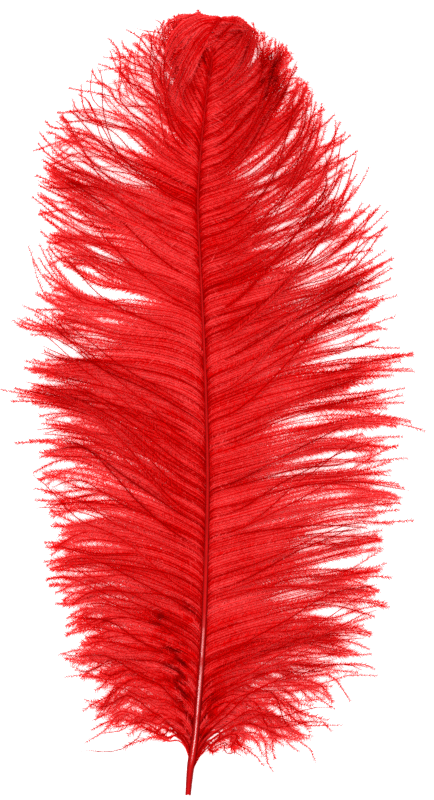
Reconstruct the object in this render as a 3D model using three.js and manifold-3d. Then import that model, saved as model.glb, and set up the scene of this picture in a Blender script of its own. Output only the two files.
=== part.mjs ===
// Ostrich feather, dyed red, lying on its back with the grooved side of the shaft up.
// Millimetres. X runs across the feather, Y from the quill to the curled tip, Z up from the resting surface.
// The origin is on the resting surface, under the middle of the feather.
import * as THREE from "three";
import { mergeVertices } from "three/addons/utils/BufferGeometryUtils.js";
import Module from "manifold-3d";

// ---- Driving dimensions ----

const GAP = 0.35; // clearance between neighbouring solids
const CLEFT = 0.7; // clearance along the shaft between two tracts of barbs
const QUILL_BORE_RADIUS = 0.8;
const QUILL_BORE_DEPTH = 7;
const QUILL_BORE_SIDES = 10;
const SHAFT_STEPS = 56;
const SHAFT_SIDES = 12;
const GROOVE_DEPTH = 0.35; // share of the shaft's half height
const GROOVE_FROM = 18; // station where the groove begins
const GROOVE_FULL_AT = 40; // station from which it has its full depth

// The shaft from the cut end of the quill to the end of the curl: place, half width and half height.
const SHAFT = [
  { at: [-12.6, -180.4, 3.4], half: [1.35, 1.3] },
  { at: [-11.5, -168.2, 3.2], half: [1.75, 1.7] },
  { at: [-10.5, -162.8, 3.0], half: [2.1, 1.9] },
  { at: [-8.9, -150.5, 2.6], half: [1.9, 1.8] },
  { at: [-5.6, -108.4, 1.9], half: [1.45, 1.45] },
  { at: [-4.2, -71.1, 1.5], half: [1.2, 1.25] },
  { at: [-3.5, -33.7, 1.3], half: [0.95, 1.05] },
  { at: [-4.2, 3.6, 1.3], half: [0.8, 0.9] },
  { at: [-5.6, 41.0, 1.9], half: [0.68, 0.78] },
  { at: [-7.0, 69.0, 3.5], half: [0.6, 0.7] },
  { at: [-8.0, 96.8, 6.5], half: [0.5, 0.6] },
  { at: [-6.6, 119.6, 10.0], half: [0.45, 0.52] },
  { at: [-4.2, 142.3, 14.3], half: [0.4, 0.45] },
  { at: [-1.4, 160.5, 18.0], half: [0.32, 0.38] },
  { at: [-0.4, 170.4, 20.6], half: [0.28, 0.32] },
  { at: [1.4, 175.3, 21.8], half: [0.26, 0.3] },
  { at: [2.8, 178.6, 23.4], half: [0.24, 0.28] },
  { at: [2.8, 179.0, 25.4], half: [0.22, 0.26] },
  { at: [0.5, 175.7, 26.6], half: [0.2, 0.24] },
  { at: [-2.7, 170.7, 25.2], half: [0.18, 0.22] },
  { at: [-6.4, 165.4, 22.6], half: [0.16, 0.2] },
];

// Guide barbs. station is the distance up the shaft from the cut end; out and up are how far the barb has
// gone away from the shaft and towards the tip, a third of the way along, two thirds along and at its end.
const LEFT = [
  { station: 22, out: [6.5, 18, 39], up: [3.7, 4.7, 2] },
  { station: 37, out: [13, 30, 52], up: [10, 13.5, 7] },
  { station: 61, out: [16, 40, 64], up: [9.5, 14.5, 12] },
  { station: 85, out: [19.5, 45, 70], up: [10, 15, 13] },
  { station: 112, out: [21.5, 47.5, 75], up: [10, 13, 10] },
  { station: 140, out: [22, 48, 77], up: [12, 19, 17] },
  { station: 170, out: [22, 50, 83], up: [12, 17, 20] },
  { station: 198, out: [21.5, 49.5, 83], up: [9.5, 13.5, 22] },
  { station: 224, out: [20.5, 48.5, 77], up: [8.5, 17, 35] },
  { station: 248, out: [20.5, 47.5, 79], up: [9.5, 20, 31] },
  { station: 271, out: [20, 46.5, 74], up: [7.5, 18, 30] },
  { station: 294, out: [16.5, 38, 58], up: [10, 25, 37] },
  { station: 314, out: [8.5, 18.5, 28.5], up: [12, 28, 42] },
  { station: 330, out: [4.5, 9, 12], up: [9, 22, 33] },
  { station: 346, out: [3, 5, 7], up: [4.5, 11, 17] },
];
const RIGHT = [
  { station: 17, out: [4, 9.5, 18.5], up: [4, 5.5, 5] },
  { station: 28, out: [11, 26, 45], up: [10, 11, -1] },
  { station: 42, out: [14, 36, 65], up: [8.5, 11.5, 2] },
  { station: 61, out: [18, 46, 77], up: [7, 11, 7] },
  { station: 85, out: [21, 50, 80], up: [6.5, 12.5, 12] },
  { station: 108, out: [21.5, 52, 88], up: [6, 12.5, 17] },
  { station: 135, out: [22, 53, 91], up: [5.5, 12, 13] },
  { station: 162, out: [21.5, 52, 88], up: [7, 14.5, 14] },
  { station: 186, out: [21, 50, 88], up: [8, 16.5, 23] },
  { station: 206, out: [20.5, 49, 87], up: [8, 20, 35] },
  { station: 235, out: [20, 47.5, 84], up: [6, 17, 32] },
  { station: 258, out: [20, 46, 75], up: [6, 17, 34] },
  { station: 280, out: [18.5, 41, 60], up: [6.5, 20, 36] },
  { station: 302, out: [15.5, 32, 47], up: [6.5, 20, 35] },
  { station: 322, out: [11.5, 24, 31], up: [5, 16, 31] },
  { station: 342, out: [7, 14, 18], up: [3.5, 10, 16.5] },
  { station: 350, out: [4.5, 9.5, 12], up: [3, 7, 9.5] },
];

// How high the middle of the vane lies, up the shaft: at the outer barb ends, and how thick the vane is there.
const EDGE_HEIGHTS = [
  { station: 0, height: 1.4 },
  { station: 230, height: 1.6 },
  { station: 290, height: 5 },
  { station: 330, height: 11 },
  { station: 352, height: 16 },
];
const VANE_HALF_THICKNESS = [0.9, 1.0, 1.0, 0.6]; // at the shaft, a third out, two thirds out, at the ends
const ARCH = 0.5; // how far the barbs arch up between the shaft and their ends
const TIP_LIFT = 2.2; // how far the last stretch of the barbs curls up
const DOWN_DEPTH = 1.3; // how far the barbules fill in below the vane, where it lies on the surface
const LIES_UNTIL = 225; // station up to which the vane lies on the surface
const CLEAR_FROM = 285; // station from which it is clear of the surface

// The tracts into which the barbs of each side part, from one cleft to the next.
const TRACTS = [
  { name: "downy_barbs_left", guides: LEFT, side: -1, from: 22, to: 52, teeth: 4 },
  { name: "lower_vane_left", guides: LEFT, side: -1, from: 52, to: 132, teeth: 7 },
  { name: "middle_vane_left", guides: LEFT, side: -1, from: 132, to: 218, teeth: 7 },
  { name: "upper_vane_left", guides: LEFT, side: -1, from: 218, to: 299, teeth: 6 },
  { name: "head_vane_left", guides: LEFT, side: -1, from: 299, to: 346, teeth: 4 },
  { name: "downy_barbs_right", guides: RIGHT, side: 1, from: 17, to: 52, teeth: 4 },
  { name: "lower_vane_right", guides: RIGHT, side: 1, from: 52, to: 128, teeth: 6 },
  { name: "middle_vane_right", guides: RIGHT, side: 1, from: 128, to: 212, teeth: 6 },
  { name: "upper_vane_right", guides: RIGHT, side: 1, from: 212, to: 292, teeth: 6 },
  { name: "head_vane_right", guides: RIGHT, side: 1, from: 292, to: 350, teeth: 5 },
];
const ROWS_PER_TOOTH = 4;
const COLUMNS = 7; // stretches along each barb
const TOOTH_CUT = 0.13; // share of the barb's length lost between two locks

// The barbs of the curled tip, which hang over the head: four places along each, from the shaft out.
const CURL_LEFT = [
  [[2.8, 179.0, 25.4], [-7.3, 178.1, 25.2], [-16.5, 172.4, 22.4], [-22.6, 162.3, 19.0]],
  [[0.5, 175.7, 26.6], [-6.2, 171.5, 24.6], [-13.8, 161.5, 20.6], [-20.0, 148.0, 16.6]],
  [[-2.7, 170.7, 25.2], [-6.8, 164.4, 22.2], [-11.8, 155.0, 18.6], [-16.4, 143.0, 15.4]],
  [[-6.4, 165.4, 22.6], [-8.6, 160.0, 20.0], [-11.6, 152.2, 17.2], [-14.3, 143.0, 15.0]],
];
const CURL_RIGHT = [
  [[2.8, 179.0, 25.4], [7.8, 179.2, 24.6], [12.9, 178.0, 23.4], [19.5, 172.8, 19.8]],
  [[0.5, 175.7, 26.6], [6.6, 177.0, 25.4], [12.4, 175.6, 23.6], [18.6, 171.2, 20.2]],
  [[-2.7, 170.7, 25.2], [3.4, 173.6, 24.6], [10.0, 173.4, 23.0], [16.8, 169.6, 20.2]],
  [[-6.4, 165.4, 22.6], [0.0, 169.1, 22.4], [7.0, 170.9, 21.6], [14.6, 168.4, 19.6]],
];
const CURL_HALF_THICKNESS = 0.5;
const CURL_CLEARANCE = 0.8; // between the shaft's middle line and the barbs of the curl

const RED = { vane: 0xd6141a, down: 0xc41016, shaft: 0xb80c12 };

// ---- Helpers ----

const wasm = await Module();
wasm.setup();

const vector = (point) => new THREE.Vector3(...point);

// The value between the two nearest stations, by straight interpolation.
function between(rows, station, read) {
  let i = 1;
  while (i < rows.length - 1 && rows[i].station < station) i += 1;
  const [a, b] = [rows[i - 1], rows[i]];
  const share = THREE.MathUtils.clamp((station - a.station) / (b.station - a.station), 0, 1);
  return THREE.MathUtils.lerp(read(a), read(b), share);
}

// A value given at equal steps from 0 to 1, read at t.
function along(values, t) {
  const place = THREE.MathUtils.clamp(t, 0, 1) * (values.length - 1);
  const i = Math.min(Math.floor(place), values.length - 2);
  return THREE.MathUtils.lerp(values[i], values[i + 1], place - i);
}

// A closed solid between an upper and a lower grid of points, walled round its four edges.
function slab(upper, lower) {
  const rows = upper.length;
  const columns = upper[0].length;
  const points = [...upper.flat(), ...lower.flat()];
  const top = (r, c) => r * columns + c;
  const bottom = (r, c) => rows * columns + top(r, c);
  const index = [];
  const quad = (a, b, c, d) => index.push(a, b, c, a, c, d);
  for (let r = 0; r < rows - 1; r += 1) {
    for (let c = 0; c < columns - 1; c += 1) {
      quad(top(r, c), top(r, c + 1), top(r + 1, c + 1), top(r + 1, c));
      quad(bottom(r, c), bottom(r + 1, c), bottom(r + 1, c + 1), bottom(r, c + 1));
    }
  }
  for (let c = 0; c < columns - 1; c += 1) {
    quad(bottom(0, c), bottom(0, c + 1), top(0, c + 1), top(0, c));
    quad(top(rows - 1, c), top(rows - 1, c + 1), bottom(rows - 1, c + 1), bottom(rows - 1, c));
  }
  for (let r = 0; r < rows - 1; r += 1) {
    quad(top(r, 0), top(r + 1, 0), bottom(r + 1, 0), bottom(r, 0));
    quad(bottom(r, columns - 1), bottom(r + 1, columns - 1), top(r + 1, columns - 1), top(r, columns - 1));
  }
  return surface(points, index);
}

function surface(points, index) {
  const geometry = new THREE.BufferGeometry().setFromPoints(points);
  geometry.setIndex(index);
  return geometry;
}

function toSolid(geometry) {
  const bare = mergeVertices(geometry);
  return new wasm.Manifold(
    new wasm.Mesh({
      numProp: 3,
      vertProperties: new Float32Array(bare.attributes.position.array),
      triVerts: new Uint32Array(bare.index.array),
    }),
  );
}

function toGeometry(solid) {
  const { vertProperties, triVerts } = solid.getMesh();
  const geometry = new THREE.BufferGeometry();
  geometry.setAttribute("position", new THREE.BufferAttribute(vertProperties, 3));
  geometry.setIndex(new THREE.BufferAttribute(triVerts, 1));
  return geometry;
}

function piece(name, geometry, color, roughness) {
  geometry.computeVertexNormals();
  const material = new THREE.MeshStandardMaterial({ color, roughness, metalness: 0 });
  const mesh = new THREE.Mesh(geometry, material);
  mesh.name = name;
  return mesh;
}

// ---- Shaft ----

const shaftPath = new THREE.CatmullRomCurve3(SHAFT.map(({ at }) => vector(at)), false, "centripetal");
shaftPath.arcLengthDivisions = 2000;
const shaftLength = shaftPath.getLength();
const shaftStations = SHAFT.map(({ at, half }, i) => {
  const lengths = shaftPath.getLengths();
  const share = i / (SHAFT.length - 1);
  return { station: lengths[Math.round(share * (lengths.length - 1))], at, half };
});
const halfWidthAt = (station) => between(shaftStations, station, ({ half }) => half[0]);
const halfHeightAt = (station) => between(shaftStations, station, ({ half }) => half[1]);

// Sections of the shaft: a round quill, whose upper side sinks into a groove where the barbs begin.
function shaftSection(station) {
  const centre = shaftPath.getPointAt(station / shaftLength);
  const along3 = shaftPath.getTangentAt(station / shaftLength);
  const across = new THREE.Vector3(1, 0, 0).addScaledVector(along3, -along3.x).normalize();
  const up = new THREE.Vector3().crossVectors(across, along3);
  const groove = GROOVE_DEPTH * THREE.MathUtils.smoothstep(station, GROOVE_FROM, GROOVE_FULL_AT);
  const ring = [];
  for (let k = 0; k < SHAFT_SIDES; k += 1) {
    const angle = Math.PI / 2 + (k / SHAFT_SIDES) * 2 * Math.PI;
    const sink = k === 0 ? 1 - groove : 1;
    ring.push(
      centre
        .clone()
        .addScaledVector(across, Math.cos(angle) * halfWidthAt(station))
        .addScaledVector(up, Math.sin(angle) * halfHeightAt(station) * sink),
    );
  }
  return ring;
}

function makeShaft() {
  const points = [];
  const index = [];
  for (let i = 0; i <= SHAFT_STEPS; i += 1) {
    points.push(...shaftSection((i / SHAFT_STEPS) * shaftLength));
  }
  const at = (i, k) => i * SHAFT_SIDES + (k % SHAFT_SIDES);
  for (let i = 0; i < SHAFT_STEPS; i += 1) {
    for (let k = 0; k < SHAFT_SIDES; k += 1) {
      index.push(at(i, k), at(i + 1, k), at(i + 1, k + 1), at(i, k), at(i + 1, k + 1), at(i, k + 1));
    }
  }
  for (const [i, turned] of [[0, false], [SHAFT_STEPS, true]]) {
    const ring = points.slice(at(i, 0), at(i, 0) + SHAFT_SIDES);
    const middle = ring.reduce((sum, p) => sum.add(p), new THREE.Vector3()).divideScalar(SHAFT_SIDES);
    points.push(middle);
    for (let k = 0; k < SHAFT_SIDES; k += 1) {
      const pair = turned ? [at(i, k + 1), at(i, k)] : [at(i, k), at(i, k + 1)];
      index.push(points.length - 1, ...pair);
    }
  }
  return toGeometry(toSolid(surface(points, index)).subtract(quillBore()));
}

// The hollow of the cut quill, open at its end.
function quillBore() {
  const [wide, narrow, length] = [QUILL_BORE_RADIUS, QUILL_BORE_RADIUS / 2, 2 * QUILL_BORE_DEPTH];
  const bore = new THREE.CylinderGeometry(wide, narrow, length, QUILL_BORE_SIDES);
  bore.deleteAttribute("normal");
  bore.deleteAttribute("uv");
  const along3 = shaftPath.getTangentAt(0);
  const turn = new THREE.Quaternion().setFromUnitVectors(new THREE.Vector3(0, -1, 0), along3);
  bore.applyQuaternion(turn).translate(...SHAFT[0].at);
  return toSolid(bore);
}

// ---- Vane ----

// A point on the middle surface of the vane: station up the shaft, t from the shaft to the barb's end.
function vanePoint(guides, side, station, t, reach) {
  const root = shaftPath.getPointAt(station / shaftLength);
  const clear = halfWidthAt(station) + GAP;
  const stops = [0, 1, 2].map((i) => [
    between(guides, station, ({ out }) => out[i]),
    between(guides, station, ({ up }) => up[i]),
  ]);
  const barb = new THREE.CatmullRomCurve3([
    new THREE.Vector3(clear, 0, 0),
    ...stops.map(([out, up]) => new THREE.Vector3(out, up, 0)),
  ]);
  const place = barb.getPoint(t * reach);
  const edge = between(EDGE_HEIGHTS, station, ({ height }) => height);
  const height =
    THREE.MathUtils.lerp(root.z, edge, THREE.MathUtils.smoothstep(t, 0, 1)) +
    ARCH * Math.sin(Math.PI * t) +
    TIP_LIFT * t ** 4;
  return new THREE.Vector3(root.x + side * place.x, root.y + place.y, height);
}

function makeTract({ guides, side, from, to, teeth }) {
  const rows = teeth * ROWS_PER_TOOTH;
  const [first, last] = [from + CLEFT / 2, to - CLEFT / 2];
  const upper = [];
  const lower = [];
  for (let r = 0; r <= rows; r += 1) {
    const station = THREE.MathUtils.lerp(first, last, r / rows);
    const tooth = Math.abs(((r / ROWS_PER_TOOTH) % 1) * 2 - 1); // 1 between two locks, 0 at a lock's middle
    const reach = 1 - TOOTH_CUT * tooth;
    const fill = DOWN_DEPTH * (1 - THREE.MathUtils.smoothstep(station, LIES_UNTIL, CLEAR_FROM));
    const high = [];
    const low = [];
    for (let c = 0; c <= COLUMNS; c += 1) {
      const t = c / COLUMNS;
      const half = along(VANE_HALF_THICKNESS, t);
      const middle = vanePoint(guides, side, station, t, reach);
      const height = Math.max(middle.z, half);
      high.push(new THREE.Vector3(middle.x, middle.y, height + half));
      low.push(new THREE.Vector3(middle.x, middle.y, Math.max(height - half - fill, 0)));
    }
    upper.push(side > 0 ? high : high.reverse());
    lower.push(side > 0 ? low : low.reverse());
  }
  return slab(upper, lower);
}

// ---- Curled tip ----

function makeCurl(barbs, side) {
  const paths = barbs.map((points) => new THREE.CatmullRomCurve3(points.map(vector)));
  const upper = [];
  const lower = [];
  for (const path of paths) {
    const line = path.getPoints(COLUMNS);
    line[0].x += side * CURL_CLEARANCE;
    const ordered = side > 0 ? line.reverse() : line;
    upper.push(ordered.map((p) => p.clone().setZ(p.z + CURL_HALF_THICKNESS)));
    lower.push(ordered.map((p) => p.clone().setZ(p.z - CURL_HALF_THICKNESS)));
  }
  return slab(upper, lower);
}

// ---- Assembly ----

const feather = new THREE.Group();
feather.name = "ostrich_feather";
feather.add(piece("shaft", makeShaft(), RED.shaft, 0.35));
for (const tract of TRACTS) {
  const color = tract.name.startsWith("downy") ? RED.down : RED.vane;
  feather.add(piece(tract.name, makeTract(tract), color, 0.8));
}
feather.add(piece("tip_curl_left", makeCurl(CURL_LEFT, -1), RED.vane, 0.8));
feather.add(piece("tip_curl_right", makeCurl(CURL_RIGHT, 1), RED.vane, 0.8));

export default feather;
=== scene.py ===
"""A dyed red ostrich plume, lying on its back on a pale sheet and seen from straight above."""

import logging
import math
from dataclasses import dataclass, field
from enum import Enum

import bpy
import numpy as np
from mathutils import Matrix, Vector


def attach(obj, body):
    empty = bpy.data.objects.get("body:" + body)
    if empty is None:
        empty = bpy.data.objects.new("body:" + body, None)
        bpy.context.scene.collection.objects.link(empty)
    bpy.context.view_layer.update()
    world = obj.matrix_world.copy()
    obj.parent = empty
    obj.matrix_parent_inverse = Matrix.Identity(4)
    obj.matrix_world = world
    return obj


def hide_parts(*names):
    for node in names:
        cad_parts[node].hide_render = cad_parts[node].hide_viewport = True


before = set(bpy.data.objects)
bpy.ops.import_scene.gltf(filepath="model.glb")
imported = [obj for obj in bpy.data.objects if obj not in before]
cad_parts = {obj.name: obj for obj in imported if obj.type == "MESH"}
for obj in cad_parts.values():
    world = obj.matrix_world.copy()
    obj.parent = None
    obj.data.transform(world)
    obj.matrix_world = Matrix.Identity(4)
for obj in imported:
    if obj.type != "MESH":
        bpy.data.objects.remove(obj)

log = logging.getLogger("feather")

MM = 0.001  # the measures below are in millimetres, Blender's are in metres
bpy.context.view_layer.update()  # brings the imported model up to date
FLOOR_CLEARANCE = 0.06  # no fibre comes nearer to the resting surface than this
# Painted shade: the share of its colour that a fibre keeps where the deepest shade is painted.
DEEPEST_SHADE = 0.45  # how much of its colour a fibre keeps at the bottom of a dark pocket
UP = (0.0, 0.0, 1.0)
TINY = 1e-9  # keeps a division by a length of nothing from failing

Array = np.ndarray


class Side(Enum):
    """The two sides of the shaft, as seen with the tip away from you."""

    LEFT = -1
    RIGHT = 1


# ---------------------------------------------------------------- measures of the plume

# The shaft from the cut end of the quill to the end of the curl: x, y, z, half width, half height.
SHAFT_STATIONS = (
    (-12.6, -180.4, 3.4, 1.35, 1.3),
    (-11.5, -168.2, 3.2, 1.75, 1.7),
    (-10.5, -162.8, 3.0, 2.1, 1.9),
    (-8.9, -150.5, 2.6, 1.9, 1.8),
    (-5.6, -108.4, 1.9, 1.45, 1.45),
    (-4.2, -71.1, 1.5, 1.2, 1.25),
    (-3.5, -33.7, 1.3, 0.95, 1.05),
    (-4.2, 3.6, 1.3, 0.8, 0.9),
    (-5.6, 41.0, 1.9, 0.68, 0.78),
    (-7.0, 69.0, 3.5, 0.6, 0.7),
    (-8.0, 96.8, 6.5, 0.5, 0.6),
    (-6.6, 119.6, 10.0, 0.45, 0.52),
    (-4.2, 142.3, 14.3, 0.4, 0.45),
    (-1.4, 160.5, 18.0, 0.32, 0.38),
    (-0.4, 170.4, 20.6, 0.28, 0.32),
    (1.4, 175.3, 21.8, 0.26, 0.3),
    (2.8, 178.6, 23.4, 0.24, 0.28),
    (2.8, 179.0, 25.4, 0.22, 0.26),
    (0.5, 175.7, 26.6, 0.2, 0.24),
    (-2.7, 170.7, 25.2, 0.18, 0.22),
    (-6.4, 165.4, 22.6, 0.16, 0.2),
)

# Guide barbs: how far up the shaft each begins, then how far it has gone out from the shaft and up
# towards the tip, a third of the way along, two thirds along and at its end.
LEFT_GUIDES = (
    (22, (7.5, 20.5, 44), (3.7, 5.2, 2.5)),
    (27, (11, 26, 48), (7, 10, 4)),
    (37, (13, 30, 52), (10, 13.5, 6.5)),
    (48, (15, 36, 65), (12, 15.5, 14.5)),
    (61, (16, 39.5, 62), (9.5, 14.5, 11.5)),
    (72, (17, 41, 63.5), (10, 14.5, 13)),
    (85, (19, 44, 69.5), (10, 15, 13)),
    (98, (20, 46, 73.5), (10.5, 15.5, 11)),
    (112, (21.5, 48.5, 78), (10.5, 16, 15)),
    (126, (22, 49, 80), (11.5, 21.5, 22.5)),
    (140, (22, 48.5, 79.5), (12, 23.5, 25.5)),
    (155, (22, 49.5, 82), (12, 21, 26.5)),
    (170, (22, 50.5, 84), (12, 18, 22)),
    (184, (22, 50, 83.5), (10, 14, 19)),
    (198, (21.5, 49.5, 83), (9.5, 13.5, 22.5)),
    (212, (21, 49, 76), (9.5, 15, 27)),
    (224, (20.5, 48.5, 73), (8.5, 17, 34)),
    (236, (21, 48, 75), (9.5, 20, 32)),
    (248, (20.5, 47, 74.5), (9.5, 20, 31)),
    (259, (20.5, 47, 73.5), (8, 18, 32)),
    (271, (20, 46.5, 74), (7.5, 18, 29.5)),
    (282, (20, 46, 67), (8.5, 22.5, 35)),
    (294, (16.5, 38, 58), (10, 25, 37.5)),
    (305, (11.5, 27.5, 42.5), (13, 27, 45)),
    (314, (8.5, 18.5, 28.5), (12, 28, 43)),
    (322, (7, 12.5, 17), (12.5, 28, 39.5)),
    (334, (4, 8.5, 11), (9.5, 21.5, 30)),
    (346, (3, 5, 7), (5.5, 12, 17)),
)
RIGHT_GUIDES = (
    (17, (4.7, 11, 20), (3, 5.5, 4)),
    (22, (8.5, 20.5, 32), (6, 7, -8)),
    (28, (12, 26.5, 42), (8, 6.5, -10)),
    (35, (13, 31, 52), (9.5, 9, -8)),
    (42, (14, 36, 62), (8.5, 10.5, -1)),
    (49, (16, 41, 68.5), (8.5, 11.5, 6.5)),
    (58, (18, 46, 77.5), (7, 11, 6.5)),
    (68, (19.5, 47.5, 78), (6.5, 11.5, 6.5)),
    (77, (20.5, 49.5, 82), (7, 12.5, 11.5)),
    (86, (21, 50, 79.5), (6.5, 12.5, 11.5)),
    (96, (21.5, 53, 90.5), (6.5, 13, 19.5)),
    (107, (21.5, 52, 87), (6, 12.5, 16)),
    (119, (22, 53, 89), (5.5, 12, 15)),
    (131, (22, 51, 85), (5, 12.5, 11)),
    (140, (22, 52, 91), (6, 11.5, 13.5)),
    (152, (21.5, 50, 84), (5.5, 11.5, 15)),
    (163, (21.5, 52, 91.5), (7, 14.5, 12.5)),
    (175, (21.5, 52, 92), (7, 15, 20.5)),
    (187, (21, 51, 90), (8, 16.5, 22)),
    (198, (20.5, 51, 91.5), (8.5, 20, 35)),
    (210, (20.5, 50, 87), (7.5, 18, 34)),
    (223, (20.5, 50.5, 85), (6, 15.5, 32)),
    (235, (20.5, 50, 81), (6, 15.5, 35)),
    (246, (20.5, 49, 77), (6, 16, 37)),
    (257, (20.5, 47.5, 71.5), (6, 17, 38)),
    (268, (20, 44.5, 64.5), (6, 18, 39)),
    (280, (19, 41, 57), (6, 19, 40.5)),
    (291, (17.5, 37, 51.5), (6.5, 20.5, 39)),
    (301, (15.5, 32.5, 46.5), (6.5, 20.5, 36.5)),
    (310, (13, 28, 42), (6, 18, 33.5)),
    (320, (12, 25.5, 36.5), (5, 16, 30)),
    (330, (9.5, 18.5, 24), (4, 13, 26)),
    (340, (7, 14, 18), (3.5, 10.5, 18.5)),
    (350, (4.5, 9.5, 12), (3, 7, 10)),
)

# The curled tip's barbs: four places along each, from the shaft out, in order up the curl.
LEFT_CURL = (
    ((0.5, 180.2, 23.2), (-7.8, 181.2, 24.0), (-15.2, 180.3, 22.6), (-21.6, 177.5, 20.0)),
    ((2.3, 179.9, 25.4), (-7.3, 178.1, 25.2), (-16.5, 172.4, 22.4), (-22.6, 162.3, 19.0)),
    ((2.3, 178.4, 26.4), (-6.4, 174.0, 25.0), (-14.7, 163.8, 21.0), (-21.2, 151.3, 16.6)),
    ((0.5, 175.2, 26.4), (-6.0, 169.0, 23.6), (-12.9, 158.8, 19.2), (-18.9, 144.5, 15.2)),
    ((-2.3, 171.1, 25.2), (-6.4, 164.5, 21.8), (-11.5, 155.2, 17.8), (-16.1, 142.2, 14.4)),
    ((-5.5, 166.2, 22.8), (-8.3, 160.5, 18.8), (-11.5, 152.4, 16.0), (-14.3, 142.1, 13.8)),
)
RIGHT_CURL = (
    ((2.8, 179.0, 24.8), (7.8, 179.2, 24.6), (12.9, 178.0, 23.2), (18.9, 173.8, 18.8)),
    ((1.0, 176.4, 26.2), (6.6, 177.6, 24.8), (12.4, 176.8, 22.2), (18.6, 173.4, 18.4)),
    ((-2.7, 170.9, 25.0), (3.4, 173.8, 22.6), (10.0, 174.8, 20.4), (17.2, 173.2, 17.6)),
    ((-6.0, 165.8, 22.6), (0.0, 168.3, 20.9), (7.0, 171.0, 19.2), (15.0, 172.4, 16.6)),
)

# Where the middle of the vane lies above the surface at the barbs' ends, by station up the shaft.
EDGE_HEIGHTS = ((0, 1.4), (230, 1.6), (290, 5), (330, 11), (352, 16))

# Stretches of the shaft over which one habit of the barbs gives way to the next: from station to
# station.
DOWN_ENDS = (35, 90)  # from loose wavy down to longer barbs
UPPER_STARTS = (150, 260)  # to freer barbs with barer ends
HEAD_STARTS = (290, 325)  # to the head's close barbs that run along the shaft

# Where more of the barbs go astray, from station to station, and how far around those stations this
# sets in and ends.
TANGLES = {Side.LEFT: (100, 180), Side.RIGHT: (165, 240)}
TANGLE_EDGE = 15

# Clefts where the barbs part: station of the cleft, how far along the barbs it opens and closes
# (1.2 for one that stays open), and half its width.
LEFT_CLEFTS = (
    (40, 0.8, 1.2, 1.6), (66, 0.85, 1.2, 1.4), (88, 0.85, 1.2, 1.4), (104, 0.82, 1.2, 1.8),
    (115, 0.58, 0.85, 1.2), (122, 0.82, 1.2, 1.3), (132, 0.86, 1.2, 1.3), (144, 0.74, 1.2, 1.8),
    (158, 0.82, 1.2, 2.0), (174, 0.78, 1.2, 1.6), (191, 0.68, 1.2, 2.4), (205, 0.62, 1.2, 3.0),
    (221, 0.2, 1.2, 4.2), (232, 0.6, 1.2, 1.6), (243, 0.22, 1.2, 3.4), (252, 0.5, 1.2, 1.8),
    (262, 0.6, 1.2, 2.4), (273, 0.4, 1.2, 2.2), (287, 0.3, 1.2, 4.0), (297, 0.4, 0.9, 2.2),
    (306, 0.5, 1.2, 3.0), (316, 0.7, 1.2, 1.4),
)
RIGHT_CLEFTS = (
    (31, 0.6, 1.2, 1.8), (41, 0.65, 1.2, 1.8), (53, 0.6, 0.98, 2.6), (64, 0.82, 1.2, 2.0),
    (73, 0.6, 1.0, 2.8), (82, 0.4, 0.75, 1.8), (91, 0.84, 1.2, 2.0), (105, 0.45, 0.8, 2.4),
    (110, 0.6, 0.96, 3.6), (123, 0.8, 1.2, 2.6), (134, 0.78, 1.2, 2.4), (143, 0.58, 0.9, 2.4),
    (153, 0.62, 1.2, 2.6), (166, 0.84, 1.2, 1.6), (178, 0.8, 1.2, 1.8), (185, 0.5, 0.85, 1.8),
    (192, 0.58, 0.92, 2.4), (204, 0.84, 1.2, 1.6), (214, 0.48, 0.8, 2.0), (223, 0.52, 0.9, 3.2),
    (229, 0.45, 0.72, 1.8), (236, 0.52, 0.88, 3.2), (248, 0.38, 0.72, 2.4), (255, 0.7, 1.2, 2.6),
    (260, 0.36, 0.66, 1.8), (268, 0.6, 1.2, 2.4), (273, 0.34, 0.64, 2.0), (283, 0.24, 0.56, 2.2),
    (286, 0.65, 1.2, 2.4), (297, 0.6, 1.2, 2.2), (306, 0.6, 1.2, 2.0),
)

# Painted shade in the dark pockets between the barbs: station, how far along the barbs, half length along the
# shaft, half length along the barbs, and how much deeper the colour is painted. Below 0 it is painted light
# instead, a paler place.
LEFT_PAINTED_SHADE_AND_LIGHT = (
    (34, 0.1, 6, 0.1, 1.0), (42, 0.18, 4, 0.08, 1.7), (51, 0.22, 4, 0.08, 1.4), (60, 0.26, 4, 0.1, 1.3),
    (52, 0.24, 18, 0.18, 0.6), (72, 0.36, 6, 0.1, 0.8), (80, 0.12, 5, 0.08, 0.8), (64, 0.75, 8, 0.12, 0.4),
    (128, 0.9, 10, 0.12, 0.4), (176, 0.84, 14, 0.14, 0.5), (200, 0.86, 6, 0.1, 0.4),
    (224, 0.78, 6, 0.12, 0.4), (251, 0.66, 6, 0.12, 0.4), (263, 0.77, 7, 0.12, 0.4),
    (322, 0.25, 8, 0.2, 0.3), (338, 0.4, 6, 0.3, 0.5), (266, 0.32, 9, 0.25, -0.7),
)
RIGHT_PAINTED_SHADE_AND_LIGHT = (
    (26, 0.1, 7, 0.1, 1.2), (36, 0.17, 6, 0.09, 1.2), (48, 0.1, 7, 0.08, 0.5), (44, 0.5, 12, 0.25, -0.5),
    (90, 0.82, 8, 0.12, 0.4), (106, 0.88, 8, 0.1, 0.4), (180, 0.75, 14, 0.14, 0.4), (199, 0.74, 9, 0.16, 0.6),
    (212, 0.85, 7, 0.1, 0.5), (254, 0.73, 7, 0.1, 0.4), (303, 0.74, 6, 0.1, 0.6), (312, 0.74, 5, 0.1, 1.7),
    (320, 0.8, 5, 0.1, 2.0),
)

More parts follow.
